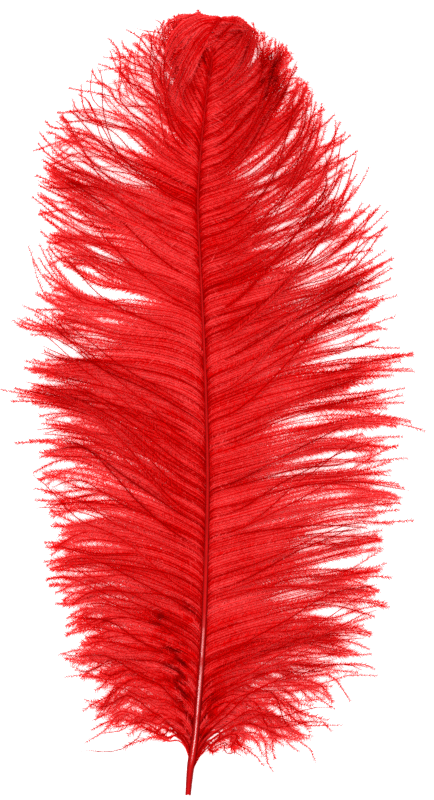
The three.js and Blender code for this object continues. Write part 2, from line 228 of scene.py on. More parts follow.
# Worn spots where the web is thin and light comes through: station, how far along the barbs, half length
# along the shaft, half length along the barbs, and share of the web that is gone.
LEFT_WORN = (
    (118, 0.7, 6, 0.1, 0.35), (130, 0.84, 4, 0.08, 0.2), (152, 0.84, 5, 0.1, 0.4), (191, 0.78, 5, 0.1, 0.5),
    (199, 0.64, 6, 0.14, 0.8), (216, 0.48, 6, 0.18, 0.8), (233, 0.6, 6, 0.14, 0.7), (242, 0.74, 6, 0.12, 0.6),
    (258, 0.64, 5, 0.12, 0.6), (273, 0.62, 6, 0.14, 0.8), (278, 0.42, 5, 0.14, 0.8), (286, 0.64, 6, 0.2, 0.7),
    (299, 0.6, 8, 0.22, 0.8), (313, 0.6, 6, 0.26, 0.5),
)
RIGHT_WORN = (
    (164, 0.52, 6, 0.13, 0.8), (142, 0.46, 20, 0.2, 0.6), (143, 0.72, 5, 0.1, 0.8), (106, 0.6, 6, 0.12, 0.7),
    (110, 0.76, 7, 0.1, 0.8), (82, 0.52, 7, 0.15, 0.9), (73, 0.8, 6, 0.1, 0.6), (53, 0.8, 6, 0.1, 0.6),
    (190, 0.74, 8, 0.1, 0.8), (214, 0.62, 6, 0.1, 0.7), (226, 0.64, 8, 0.12, 0.7), (236, 0.68, 6, 0.1, 0.7),
    (248, 0.54, 6, 0.13, 0.8), (260, 0.5, 6, 0.14, 0.8), (273, 0.46, 6, 0.14, 0.8), (283, 0.4, 6, 0.14, 0.8),
    (96, 0.66, 16, 0.16, 0.4), (44, 0.5, 10, 0.2, 0.35), (118, 0.72, 14, 0.16, 0.45),
)

# The tracts of barbs, one to each of the frame's vane nodes: node, side, first and last station,
# distance between barbs.
TRACTS = (
    ("downy_barbs_left", Side.LEFT, 22, 52, 0.5),
    ("lower_vane_left", Side.LEFT, 52, 132, 0.62),
    ("middle_vane_left", Side.LEFT, 132, 218, 0.64),
    ("upper_vane_left", Side.LEFT, 218, 299, 0.6),
    ("head_vane_left", Side.LEFT, 299, 352, 0.4),
    ("downy_barbs_right", Side.RIGHT, 17, 52, 0.5),
    ("lower_vane_right", Side.RIGHT, 52, 128, 0.62),
    ("middle_vane_right", Side.RIGHT, 128, 212, 0.64),
    ("upper_vane_right", Side.RIGHT, 212, 292, 0.6),
    ("head_vane_right", Side.RIGHT, 292, 354, 0.4),
)

# The two tracts of the curled tip: node, side, guide barbs, distance between barbs.
CURLS = (
    ("tip_curl_left", Side.LEFT, LEFT_CURL, 0.13),
    ("tip_curl_right", Side.RIGHT, RIGHT_CURL, 0.2),
)
CURL_LENGTH = 22  # of the shaft's end that they stand on

# Where the tracts' random numbers begin.
TRACT_SEED = 11
CURL_SEED = 31
DRIFT_SEED = 500  # of the layers' drifts
SIDE_SEED = 100  # how far apart those of the two sides are


# ---------------------------------------------------------------- small mathematics


def ease(low: float, high: float, value: Array | float) -> Array:
    """Smooth step from 0 at low to 1 at high.

    Args:
        low: Where the step begins.
        high: Where the step ends.
        value: Where to read it.

    Returns:
        The step's height there.
    """
    share = np.clip((np.asarray(value, dtype=float) - low) / (high - low), 0.0, 1.0)
    return share * share * (3.0 - 2.0 * share)


def unit(vectors: Array) -> Array:
    """Scale vectors to length one.

    Args:
        vectors: Vectors along the last axis.

    Returns:
        The same directions at length one.
    """
    return vectors / np.maximum(np.linalg.norm(vectors, axis=-1, keepdims=True), TINY)


def four_point_weights(t: Array) -> Array:
    """Weights of the cubic through four points at 0, 1/3, 2/3 and 1.

    Args:
        t: Places along the cubic.

    Returns:
        One weight per point, along a new last axis.
    """
    nodes = np.array([0.0, 1 / 3, 2 / 3, 1.0])
    weights = []
    for i, here in enumerate(nodes):
        others = np.delete(nodes, i)
        weights.append(np.prod([(t - other) / (here - other) for other in others], axis=0))
    return np.stack(weights, axis=-1)


def spots(table: Array, station: Array, t: Array) -> Array:
    """Add up soft round spots laid on the vane.

    Args:
        table: For each spot its station, how far along the barbs it is, its half lengths along the
            shaft and along the barbs, and its amount.
        station: Stations of the barbs.
        t: How far along the barbs.

    Returns:
        The sum of the amounts.
    """
    total = np.zeros(np.broadcast(station, t).shape)
    for at, middle, wide, long, amount in table:
        total += amount * np.exp(-(((station - at) / wide) ** 2) - ((t - middle) / long) ** 2)
    return total


def grow(amounts: tuple[float, float, float], upper: Array, head: Array) -> Array:
    """Change an amount from the plume's lower part to its upper part and on to its head.

    Args:
        amounts: The amount low down, what is added higher up, and what is added at the head.
        upper: How far the upper part has set in, from 0 to 1.
        head: How far the head has set in, from 0 to 1.

    Returns:
        The amount there.
    """
    return amounts[0] + amounts[1] * upper + amounts[2] * head


# ---------------------------------------------------------------- meshes


@dataclass
class Patchwork:
    """Triangles gathered from many small shapes, with one tone and one finish for each corner or face."""

    points: list[Array] = field(default_factory=list)
    faces: list[Array] = field(default_factory=list)
    finishes: list[Array] = field(default_factory=list)
    tones: list[Array] = field(default_factory=list)
    count: int = 0

    def add(self, points: Array, faces: Array, finish: int, tones: Array) -> None:
        """Add one batch of triangles.

        Args:
            points: Corner places, in millimetres.
            faces: Corner numbers of each triangle, counted from 0 in this batch.
            finish: Which of the piece's materials the triangles take.
            tones: One tone per corner, from -1 for the deepest to 1 for the palest.
        """
        self.points.append(points.reshape(-1, 3))
        self.faces.append(faces.reshape(-1, 3) + self.count)
        self.finishes.append(np.full(faces.size // 3, finish, dtype=np.int32))
        self.tones.append(tones.reshape(-1))
        self.count += points.size // 3

    def to_object(self, name: str, materials: list[bpy.types.Material], smooth: bool) -> bpy.types.Object:
        """Make the gathered triangles into one Blender object.

        Args:
            name: The object's name.
            materials: Its materials, in the order of the finishes.
            smooth: Whether the faces are shaded smooth.

        Returns:
            The new object, linked to the scene.
        """
        points = np.concatenate(self.points) * MM
        faces = np.concatenate(self.faces).astype(np.int32)
        mesh = bpy.data.meshes.new(name)
        mesh.vertices.add(len(points))
        mesh.vertices.foreach_set("co", points.astype(np.float32).ravel())
        mesh.loops.add(faces.size)
        mesh.loops.foreach_set("vertex_index", faces.ravel())
        mesh.polygons.add(len(faces))
        mesh.polygons.foreach_set("loop_start", np.arange(0, faces.size, 3, dtype=np.int32))
        mesh.polygons.foreach_set("material_index", np.concatenate(self.finishes))
        mesh.polygons.foreach_set("use_smooth", np.full(len(faces), smooth))
        tone = mesh.attributes.new("tone", "FLOAT", "POINT")
        tone.data.foreach_set("value", np.concatenate(self.tones).astype(np.float32))
        mesh.update(calc_edges=True)
        for material in materials:
            mesh.materials.append(material)
        made = bpy.data.objects.new(name, mesh)
        bpy.context.scene.collection.objects.link(made)
        return made


# ---------------------------------------------------------------- finishes

PATCH_DETAIL = 3.0  # how many finer sizes of patch there are inside the largest
NOISE_MEAN = 0.5  # of Blender's noise


def new_group(name: str, inputs: dict[str, str], outputs: dict[str, str]) -> bpy.types.NodeTree:
    """Make an empty shader node group with named sockets.

    Args:
        name: The group's name.
        inputs: Socket name to socket type.
        outputs: Socket name to socket type.

    Returns:
        The group, holding only its input and output nodes.
    """
    group = bpy.data.node_groups.new(name, "ShaderNodeTree")
    for title, kind in inputs.items():
        group.interface.new_socket(name=title, in_out="INPUT", socket_type=kind)
    for title, kind in outputs.items():
        group.interface.new_socket(name=title, in_out="OUTPUT", socket_type=kind)
    group.nodes.new("NodeGroupInput")
    group.nodes.new("NodeGroupOutput")
    return group


def dye_and_shade_group() -> bpy.types.NodeTree:
    """Build the fibres' colour: uneven uptake of dye in deep and pale patches, and a tone of its own for
    every fibre, which also carries painted shade and painted light.

    Returns:
        A group that turns a deep and a pale colour into the fibre's colour.
    """
    group = new_group(
        "dye_and_painted_shade",
        {"Deep": "NodeSocketColor", "Pale": "NodeSocketColor", "Patch Size": "NodeSocketFloat",
         "Patchiness": "NodeSocketFloat", "Fibre Spread": "NodeSocketFloat"},
        {"Color": "NodeSocketColor"},
    )
    nodes, links = group.nodes, group.links
    start, end = nodes["Group Input"], nodes["Group Output"]
    place = nodes.new("ShaderNodeTexCoord")
    patches = nodes.new("ShaderNodeTexNoise")
    patches.inputs["Detail"].default_value = PATCH_DETAIL
    links.new(place.outputs["Object"], patches.inputs["Vector"])
    links.new(start.outputs["Patch Size"], patches.inputs["Scale"])
    tone = nodes.new("ShaderNodeAttribute")
    tone.attribute_name = "tone"
    centred = nodes.new("ShaderNodeMath")
    centred.operation = "SUBTRACT"
    centred.inputs[1].default_value = NOISE_MEAN
    links.new(patches.outputs["Fac"], centred.inputs[0])
    patch = nodes.new("ShaderNodeMath")
    patch.operation = "MULTIPLY"
    links.new(centred.outputs[0], patch.inputs[0])
    links.new(start.outputs["Patchiness"], patch.inputs[1])
    own = nodes.new("ShaderNodeMath")
    own.operation = "MULTIPLY"
    links.new(tone.outputs["Fac"], own.inputs[0])
    links.new(start.outputs["Fibre Spread"], own.inputs[1])
    total = nodes.new("ShaderNodeMath")
    links.new(patch.outputs[0], total.inputs[0])
    links.new(own.outputs[0], total.inputs[1])
    mix = nodes.new("ShaderNodeMix")
    mix.data_type = "RGBA"
    links.new(total.outputs[0], mix.inputs["Factor"])
    links.new(start.outputs["Deep"], mix.inputs["A"])
    links.new(start.outputs["Pale"], mix.inputs["B"])
    # Painted shade: a tone below 0, as on a fibre deep down between the others, is darker than the deep
    # colour.
    down = nodes.new("ShaderNodeMapRange")
    down.inputs["From Min"].default_value = -1.0
    down.inputs["From Max"].default_value = 0.0
    down.inputs["To Min"].default_value = DEEPEST_SHADE
    links.new(tone.outputs["Fac"], down.inputs["Value"])
    shaded = nodes.new("ShaderNodeMix")
    shaded.data_type = "RGBA"
    shaded.inputs["A"].default_value = (0.0, 0.0, 0.0, 1.0)
    links.new(down.outputs["Result"], shaded.inputs["Factor"])
    links.new(mix.outputs["Result"], shaded.inputs["B"])
    links.new(shaded.outputs["Result"], end.inputs["Color"])
    return group


@dataclass(frozen=True)
class FibreFinish:
    """The finish of barbs or barbules: dyed keratin, matt."""

    name: str
    deep: tuple[float, float, float]
    pale: tuple[float, float, float]
    roughness: float
    through: float  # share of the light that comes through the fibre
    shine: float = 0.02
    patch_size: float = 45.0  # of the patches of deeper and paler dye: larger is finer
    patchiness: float = 0.8
    fibre_spread: float = 1.0

    def build(self, dye_and_shade: bpy.types.NodeTree) -> bpy.types.Material:
        """Make the material.

        Args:
            dye_and_shade: The group of dye uptake and painted shade.

        Returns:
            The material.
        """
        material = bpy.data.materials.new(self.name)
        material.use_nodes = True
        nodes, links = material.node_tree.nodes, material.node_tree.links
        shader = nodes["Principled BSDF"]
        colour = nodes.new("ShaderNodeGroup")
        colour.node_tree = dye_and_shade
        colour.inputs["Deep"].default_value = (*self.deep, 1.0)
        colour.inputs["Pale"].default_value = (*self.pale, 1.0)
        colour.inputs["Patch Size"].default_value = self.patch_size
        colour.inputs["Patchiness"].default_value = self.patchiness
        colour.inputs["Fibre Spread"].default_value = self.fibre_spread
        links.new(colour.outputs["Color"], shader.inputs["Base Color"])
        shader.inputs["Roughness"].default_value = self.roughness
        shader.inputs["Specular IOR Level"].default_value = self.shine
        if self.through > 0:
            glow = nodes.new("ShaderNodeBsdfTranslucent")
            links.new(colour.outputs["Color"], glow.inputs["Color"])
            both = nodes.new("ShaderNodeMixShader")
            both.inputs["Fac"].default_value = self.through
            links.new(shader.outputs["BSDF"], both.inputs[1])
            links.new(glow.outputs["BSDF"], both.inputs[2])
            links.new(both.outputs["Shader"], nodes["Material Output"].inputs["Surface"])
        return material


BARB_FINISH = FibreFinish(
    "barb_dyed", deep=(0.36, 0.0, 0.0), pale=(0.74, 0.002, 0.003), roughness=0.5, through=0.0
)
BARBULE_FINISH = FibreFinish(
    "barbule_dyed", deep=(0.77, 0.0, 0.0), pale=(0.87, 0.075, 0.077), roughness=0.65, through=0.3
)


def quill_group() -> bpy.types.NodeTree:
    """Build the mask of the polished stretch of the quill, which starts and fades out along the shaft.

    Returns:
        A group whose mask is 1 on that stretch and 0 elsewhere.
    """
    group = new_group(
        "quill_mask",
        {"Starts From": "NodeSocketFloat", "Starts To": "NodeSocketFloat",
         "Fades From": "NodeSocketFloat", "Fades To": "NodeSocketFloat"},
        {"Mask": "NodeSocketFloat"},
    )
    nodes, links = group.nodes, group.links
    given = nodes["Group Input"].outputs
    place = nodes.new("ShaderNodeTexCoord")
    split = nodes.new("ShaderNodeSeparateXYZ")
    links.new(place.outputs["Object"], split.inputs["Vector"])
    both = nodes.new("ShaderNodeMath")
    both.operation = "MULTIPLY"
    for i, (end, first, last) in enumerate((("Starts", 0.0, 1.0), ("Fades", 1.0, 0.0))):
        ramp = nodes.new("ShaderNodeMapRange")
        ramp.inputs["To Min"].default_value = first
        ramp.inputs["To Max"].default_value = last
        links.new(split.outputs["Y"], ramp.inputs["Value"])
        links.new(given[f"{end} From"], ramp.inputs["From Min"])
        links.new(given[f"{end} To"], ramp.inputs["From Max"])
        links.new(ramp.outputs["Result"], both.inputs[i])
    links.new(both.outputs[0], nodes["Group Output"].inputs["Mask"])
    return group


@dataclass(frozen=True)
class ShaftFinish:
    """The finish of the shaft: smooth dyed horn, glossy at the quill and duller up the plume."""

    name: str = "shaft_horn"
    deep: tuple[float, float, float] = (0.24, 0.0, 0.0)
    pale: tuple[float, float, float] = (0.6, 0.002, 0.003)
    roughness: float = 0.45
    shine: float = 0.05
    patch_size: float = 220.0  # of the patches of deeper and paler dye: larger is finer
    patchiness: float = 0.5
    tone_spread: float = 1.0
    coat_roughness: float = 0.24
    coat_ior: float = 4.0
    coat_narrowing: float = 210.0  # how fast the gloss goes from the top of the quill to its flanks
    start: tuple[float, float] = (-0.18, -0.158)  # between where and where the quill's gloss sets in
    fade: tuple[float, float] = (-0.141, -0.095)  # between where and where it ends
    rub_size: float = 130.0  # of the places where the gloss is rubbed off: larger is finer
    rub_detail: float = 1.0
    rub_edge: tuple[float, float] = (0.4, 0.52)  # noise at which the gloss is rubbed off, and is whole
    rubbed: float = 0.2  # share of the gloss that is left where it is rubbed off

    def build(self, dye_and_shade: bpy.types.NodeTree) -> bpy.types.Material:
        """Make the material.

        Args:
            dye_and_shade: The group of dye uptake and painted shade.

        Returns:
            The material.
        """
        material = bpy.data.materials.new(self.name)
        material.use_nodes = True
        nodes, links = material.node_tree.nodes, material.node_tree.links
        shader = nodes["Principled BSDF"]
        colour = nodes.new("ShaderNodeGroup")
        colour.node_tree = dye_and_shade
        colour.inputs["Deep"].default_value = (*self.deep, 1.0)
        colour.inputs["Pale"].default_value = (*self.pale, 1.0)
        colour.inputs["Patch Size"].default_value = self.patch_size
        colour.inputs["Patchiness"].default_value = self.patchiness
        colour.inputs["Fibre Spread"].default_value = self.tone_spread
        links.new(colour.outputs["Color"], shader.inputs["Base Color"])
        links.new(self._gloss(material.node_tree), shader.inputs["Coat Weight"])
        shader.inputs["Coat Roughness"].default_value = self.coat_roughness
        shader.inputs["Coat IOR"].default_value = self.coat_ior
        shader.inputs["Roughness"].default_value = self.roughness
        shader.inputs["Specular IOR Level"].default_value = self.shine
        return material

    def _gloss(self, tree: bpy.types.NodeTree) -> bpy.types.NodeSocket:
        """Lay the gloss in a narrow, broken streak down the top of the quill.

        Args:
            tree: The material's nodes.

        Returns:
            The output that holds how much gloss there is.
        """
        nodes, links = tree.nodes, tree.links
        quill = nodes.new("ShaderNodeGroup")
        quill.node_tree = quill_group()
        quill.inputs["Starts From"].default_value = self.start[0]
        quill.inputs["Starts To"].default_value = self.start[1]
        quill.inputs["Fades From"].default_value = self.fade[0]
        quill.inputs["Fades To"].default_value = self.fade[1]
        flank = nodes.new("ShaderNodeLayerWeight")
        top = nodes.new("ShaderNodeMath")
        top.operation = "SUBTRACT"
        top.inputs[0].default_value = 1.0
        links.new(flank.outputs["Facing"], top.inputs[1])
        narrow = nodes.new("ShaderNodeMath")
        narrow.operation = "POWER"
        narrow.inputs[1].default_value = self.coat_narrowing
        links.new(top.outputs[0], narrow.inputs[0])
        coat = nodes.new("ShaderNodeMath")
        coat.operation = "MULTIPLY"
        links.new(quill.outputs["Mask"], coat.inputs[0])
        links.new(narrow.outputs[0], coat.inputs[1])
        # The gloss is rubbed off in places, so that its streak is broken.
        place = nodes.new("ShaderNodeTexCoord")
        rubs = nodes.new("ShaderNodeTexNoise")
        rubs.inputs["Scale"].default_value = self.rub_size
        rubs.inputs["Detail"].default_value = self.rub_detail
        links.new(place.outputs["Object"], rubs.inputs["Vector"])
        left = nodes.new("ShaderNodeMapRange")
        left.inputs["From Min"].default_value = self.rub_edge[0]
        left.inputs["From Max"].default_value = self.rub_edge[1]
        left.inputs["To Min"].default_value = self.rubbed
        links.new(rubs.outputs["Fac"], left.inputs["Value"])
        broken = nodes.new("ShaderNodeMath")
        broken.operation = "MULTIPLY"
        links.new(coat.outputs[0], broken.inputs[0])
        links.new(left.outputs["Result"], broken.inputs[1])
        return broken.outputs[0]


# ---------------------------------------------------------------- shaft


@dataclass
class Shaft:
    """The quill and rachis: a round hollow quill that runs on into a grooved, tapering shaft."""

    stations: tuple[tuple[float, ...], ...] = SHAFT_STATIONS
    steps: int = 420
    sides: int = 28
    steps_per_span: int = 40  # between one station of the table and the next
    crowding: float = 1.02  # how much closer together the rings are at the cut end
    groove_depth: float = 0.42  # share of the half height
    groove_width: float = 0.34  # in radians, round the top
    groove_starts: tuple[float, float] = (70, 130)  # from station to station
    squareness: float = 0.07  # how far the ridges beside the groove stand proud
    square_starts: tuple[float, float] = (20, 60)
    top_tone: float = 0.5
    # Painted shade: the flanks are painted deeper than the top.
    flank_shade: float = 1.1  # how much deeper the colour is down the flanks
    flank_narrowing: float = 3.0
    edge_turn: float = 0.66  # where the dark lines along the shaft are, in radians from the top
    edge_width: float = 0.2  # of those lines, in radians
    edge_shade: float = 0.9  # how much deeper the colour is there
    edge_fade: float = 0.3  # and how much of that goes higher up
    edge_fades: tuple[float, float] = (60, 100)
    bare_edge: float = 0.45  # how much of the lines there is on the quill below the barbs
    bare_ends: tuple[float, float] = (20, 34)
    look: float = 0.4  # how far to each side the shaft's direction is read from
    cut_middle: float = 0.5  # station at which the cut end's direction is read
    cut_waves: tuple[tuple[float, float, float], ...] = ((0.25, 1.7, 0), (0.18, 3.1, 1))  # of its ragged rim
    bore_depth: float = 7.0
    bore_steps: int = 5
    bore_narrows: float = 0.9  # how far the hollow has narrowed at its end
    rim_tone: float = 0.9
    wall: float = 0.42  # thickness of the quill's wall
    table: Array = field(init=False)
    lengths: Array = field(init=False)

    def __post_init__(self) -> None:
        """Lay a smooth line through the stations and measure its length."""
        given = np.array(self.stations)
        ends = np.vstack([2 * given[0] - given[1], given, 2 * given[-1] - given[-2]])
        rows = []
        for i in range(1, len(ends) - 2):
            u = np.linspace(0, 1, self.steps_per_span, endpoint=False)[:, None]
            a, b, c, d = ends[i - 1], ends[i], ends[i + 1], ends[i + 2]
            chord = np.linalg.norm(c[:3] - b[:3])
            m1 = (c - a) * chord / (np.linalg.norm(c[:3] - a[:3]) + TINY)
            m2 = (d - b) * chord / (np.linalg.norm(d[:3] - b[:3]) + TINY)
            rows.append(
                (2 * u**3 - 3 * u**2 + 1) * b + (u**3 - 2 * u**2 + u) * m1
                + (3 * u**2 - 2 * u**3) * c + (u**3 - u**2) * m2
            )
        self.table = np.vstack([*rows, given[-1:]])
        gaps = np.linalg.norm(np.diff(self.table[:, :3], axis=0), axis=1)
        self.lengths = np.concatenate([[0.0], np.cumsum(gaps)])

    @property
    def length(self) -> float:
        """The shaft's whole length, round the curl too."""
        return float(self.lengths[-1])

    def read(self, station: Array) -> Array:
        """Read the shaft at places along it.

        Args:
            station: Distances from the cut end.

        Returns:
            x, y, z, half width and half height, along a new last axis.
        """
        return np.stack([np.interp(station, self.lengths, column) for column in self.table.T], axis=-1)

    def frame_at(self, station: Array) -> tuple[Array, Array, Array]:
        """The shaft's own directions at places along it.

        Args:
            station: Distances from the cut end.

        Returns:
            Unit vectors along the shaft, across it and out of its grooved side.
        """
        ahead = self.read(station + self.look)[..., :3] - self.read(station - self.look)[..., :3]
        along = unit(ahead)
        x_axis = np.array([1.0, 0.0, 0.0])
        across = unit(x_axis - along * along[..., :1])
        return along, across, np.cross(across, along)

    def build(self) -> Patchwork:
        """Make the shaft's surface, with the bore of the cut quill.

        Returns:
            The shaft's triangles.
        """
        station = self.length * np.linspace(0, 1, self.steps) ** self.crowding
        core = self.read(station)
        _, across, up = self.frame_at(station)
        angle = np.linspace(0, 2 * np.pi, self.sides, endpoint=False) + np.pi / 2
        from_top = np.abs((angle - np.pi / 2 + np.pi) % (2 * np.pi) - np.pi)
        depth = self.groove_depth * ease(*self.groove_starts, station)
        sink = 1 - depth[:, None] * np.exp(-((from_top / self.groove_width) ** 2))
        # The two ridges beside the groove stand a little proud, and the flanks are flattened.
        proud = self.squareness * ease(*self.square_starts, station)
        square = 1 + proud[:, None] * np.cos(4 * (angle - np.pi / 4))
        wide = core[:, 3:4] * np.cos(angle) * square
        high = core[:, 4:5] * np.sin(angle) * sink * square
        rings = core[:, None, :3] + across[:, None] * wide[..., None] + up[:, None] * high[..., None]
        rings = self._rough_cut(rings)
        work = Patchwork()
        faces = self._ring_faces(self.steps, flip=False)
        work.add(rings, faces, 0, self._shade(station, angle, from_top))
        self._close_tip(work, rings[-1])
        self._add_bore(work, rings[0])
        return work

    def _shade(self, station: Array, angle: Array, from_top: Array) -> Array:
        """Paint shade down the flanks, and deepen the colour in a dark line on each side of the top.

        Args:
            station: Places of the rings along the shaft.
            angle: Turns of the points round a ring.
            from_top: The same, counted from the top of the shaft.

        Returns:
            One tone per point.
        """
        flanks = self.top_tone - self.flank_shade * np.abs(np.cos(angle)) ** self.flank_narrowing
        lines = np.exp(-(((from_top - self.edge_turn) / self.edge_width) ** 2))
        bare = self.bare_edge + (1 - self.bare_edge) * ease(*self.bare_ends, station)
        depth = (self.edge_shade - self.edge_fade * ease(*self.edge_fades, station)) * bare
        return np.clip(flanks - depth[:, None] * lines, -1, 1)

    def _rough_cut(self, rings: Array) -> Array:
        """Make the cut end of the quill slightly ragged.

        Args:
            rings: The shaft's rings of points.

        Returns:
            The rings, with the first pushed in and out along the shaft.
        """
        along = self.frame_at(np.array([self.cut_middle]))[0][0]
        turn = np.arange(self.sides)
        for height, pitch, phase in self.cut_waves:
            rings[0] += along * (height * np.sin(turn * pitch + phase))[:, None]
        return rings

    def _ring_faces(self, count: int, flip: bool) -> Array:
        """Triangles between rings of points.

        Args:
            count: How many rings.
            flip: Whether the faces look inwards.

        Returns:
            Corner numbers of the triangles.
        """
        i, k = np.indices((count - 1, self.sides))
        nxt = (k + 1) % self.sides
        a, b = i * self.sides + k, (i + 1) * self.sides + k
        c, d = (i + 1) * self.sides + nxt, i * self.sides + nxt
        faces = np.stack([a, b, c, a, c, d], axis=-1).reshape(-1, 3)
        return faces[:, ::-1] if flip else faces

    def _close_tip(self, work: Patchwork, ring: Array) -> None:
        """Close the thin end of the shaft.

        Args:
            work: The triangles so far.
            ring: The last ring of points.
        """
        points = np.vstack([ring, ring.mean(axis=0)])
        k = np.arange(self.sides)
        faces = np.stack([k, np.full_like(k, self.sides), (k + 1) % self.sides], axis=-1)
        work.add(points, faces, 0, np.full(len(points), self.top_tone))

    def _add_bore(self, work: Patchwork, rim: Array) -> None:
        """Add the cut face of the quill and the hollow behind it.

        Args:
            work: The triangles so far.
            rim: The outer ring of the cut end.
        """
        centre = rim.mean(axis=0)
        along = self.frame_at(np.array([self.cut_middle]))[0][0]
        radius = np.linalg.norm(rim - centre, axis=1, keepdims=True)
        inner = centre + (rim - centre) * (1 - self.wall / radius)
        rings = [rim, inner]
        for share in np.linspace(1 / self.bore_steps, 1, self.bore_steps):
            narrowed = (inner - centre) * math.sqrt(1 - self.bore_narrows * share**2)
            rings.append(centre + narrowed + along * self.bore_depth * share)
        points = np.stack(rings)
        # Painted shade: the hollow gets darker further in.
        tones = np.linspace(self.rim_tone, 0.0, len(rings))[:, None] * np.ones(self.sides)
        work.add(points, self._ring_faces(len(rings), flip=True), 0, tones)
        self._close_bore(work, points[-1])

    def _close_bore(self, work: Patchwork, ring: Array) -> None:
        """Close the far end of the quill's hollow, in the darkest painted shade.

        Args:
            work: The triangles so far.
            ring: The last ring of the hollow.
        """
        points = np.vstack([ring, ring.mean(axis=0)])
        k = np.arange(self.sides)
        faces = np.stack([(k + 1) % self.sides, np.full_like(k, self.sides), k], axis=-1)
        work.add(points, faces, 0, np.zeros(len(points)))

    def dress(self, work: Patchwork, material: bpy.types.Material) -> bpy.types.Object:
        """Make the shaft's object and tie it to the frame.

        Args:
            work: The shaft's triangles.
            material: Its finish.

        Returns:
            The shaft's object.
        """
        made = work.to_object("shaft_horn", [material], smooth=True)
        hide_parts("shaft")
        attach(made, "root")
        return made


# ---------------------------------------------------------------- barbs

LAYERS = 3  # of barbs, one over the other
SMOOTH_SPREAD = 0.6  # of random numbers that change smoothly along the shaft
FLOOR_PILE = 0.1  # how unevenly the lowest barbules lie on the floor


@dataclass
class Drift:
    """A smooth wandering of neighbouring barbs, which gathers them in locks and spreads them again."""

    seed: int
    waves: int = 9
    across: tuple[float, float] = (7.0, 30.0)  # shortest and longest wave, along the shaft
    along: float = 1.9  # most turns of a wave from the shaft to the barbs' ends
    strength: float = 0.7
    numbers: Array = field(init=False)

    def __post_init__(self) -> None:
        """Draw the waves."""
        rng = np.random.default_rng(self.seed)
        size = np.exp(rng.uniform(*np.log(self.across), self.waves))
        turns = rng.uniform(-self.along, self.along, self.waves)
        phase = rng.uniform(0, 1, self.waves)
        self.numbers = np.stack([1 / size, turns, phase, np.sqrt(size / size.mean())])

    def read(self, station: Array, t: Array) -> Array:
        """Read the drift.

        Args:
            station: Stations of the barbs.
            t: How far along the barbs.

        Returns:
            Values around 0, mostly between -1 and 1.
        """
        total = np.zeros(np.broadcast(station, t).shape)
        for pitch, turn, phase, height in self.numbers.T:
            total = total + height * np.cos(2 * np.pi * (station * pitch + t * turn + phase))
        return total * math.sqrt(2 / self.waves) * self.strength


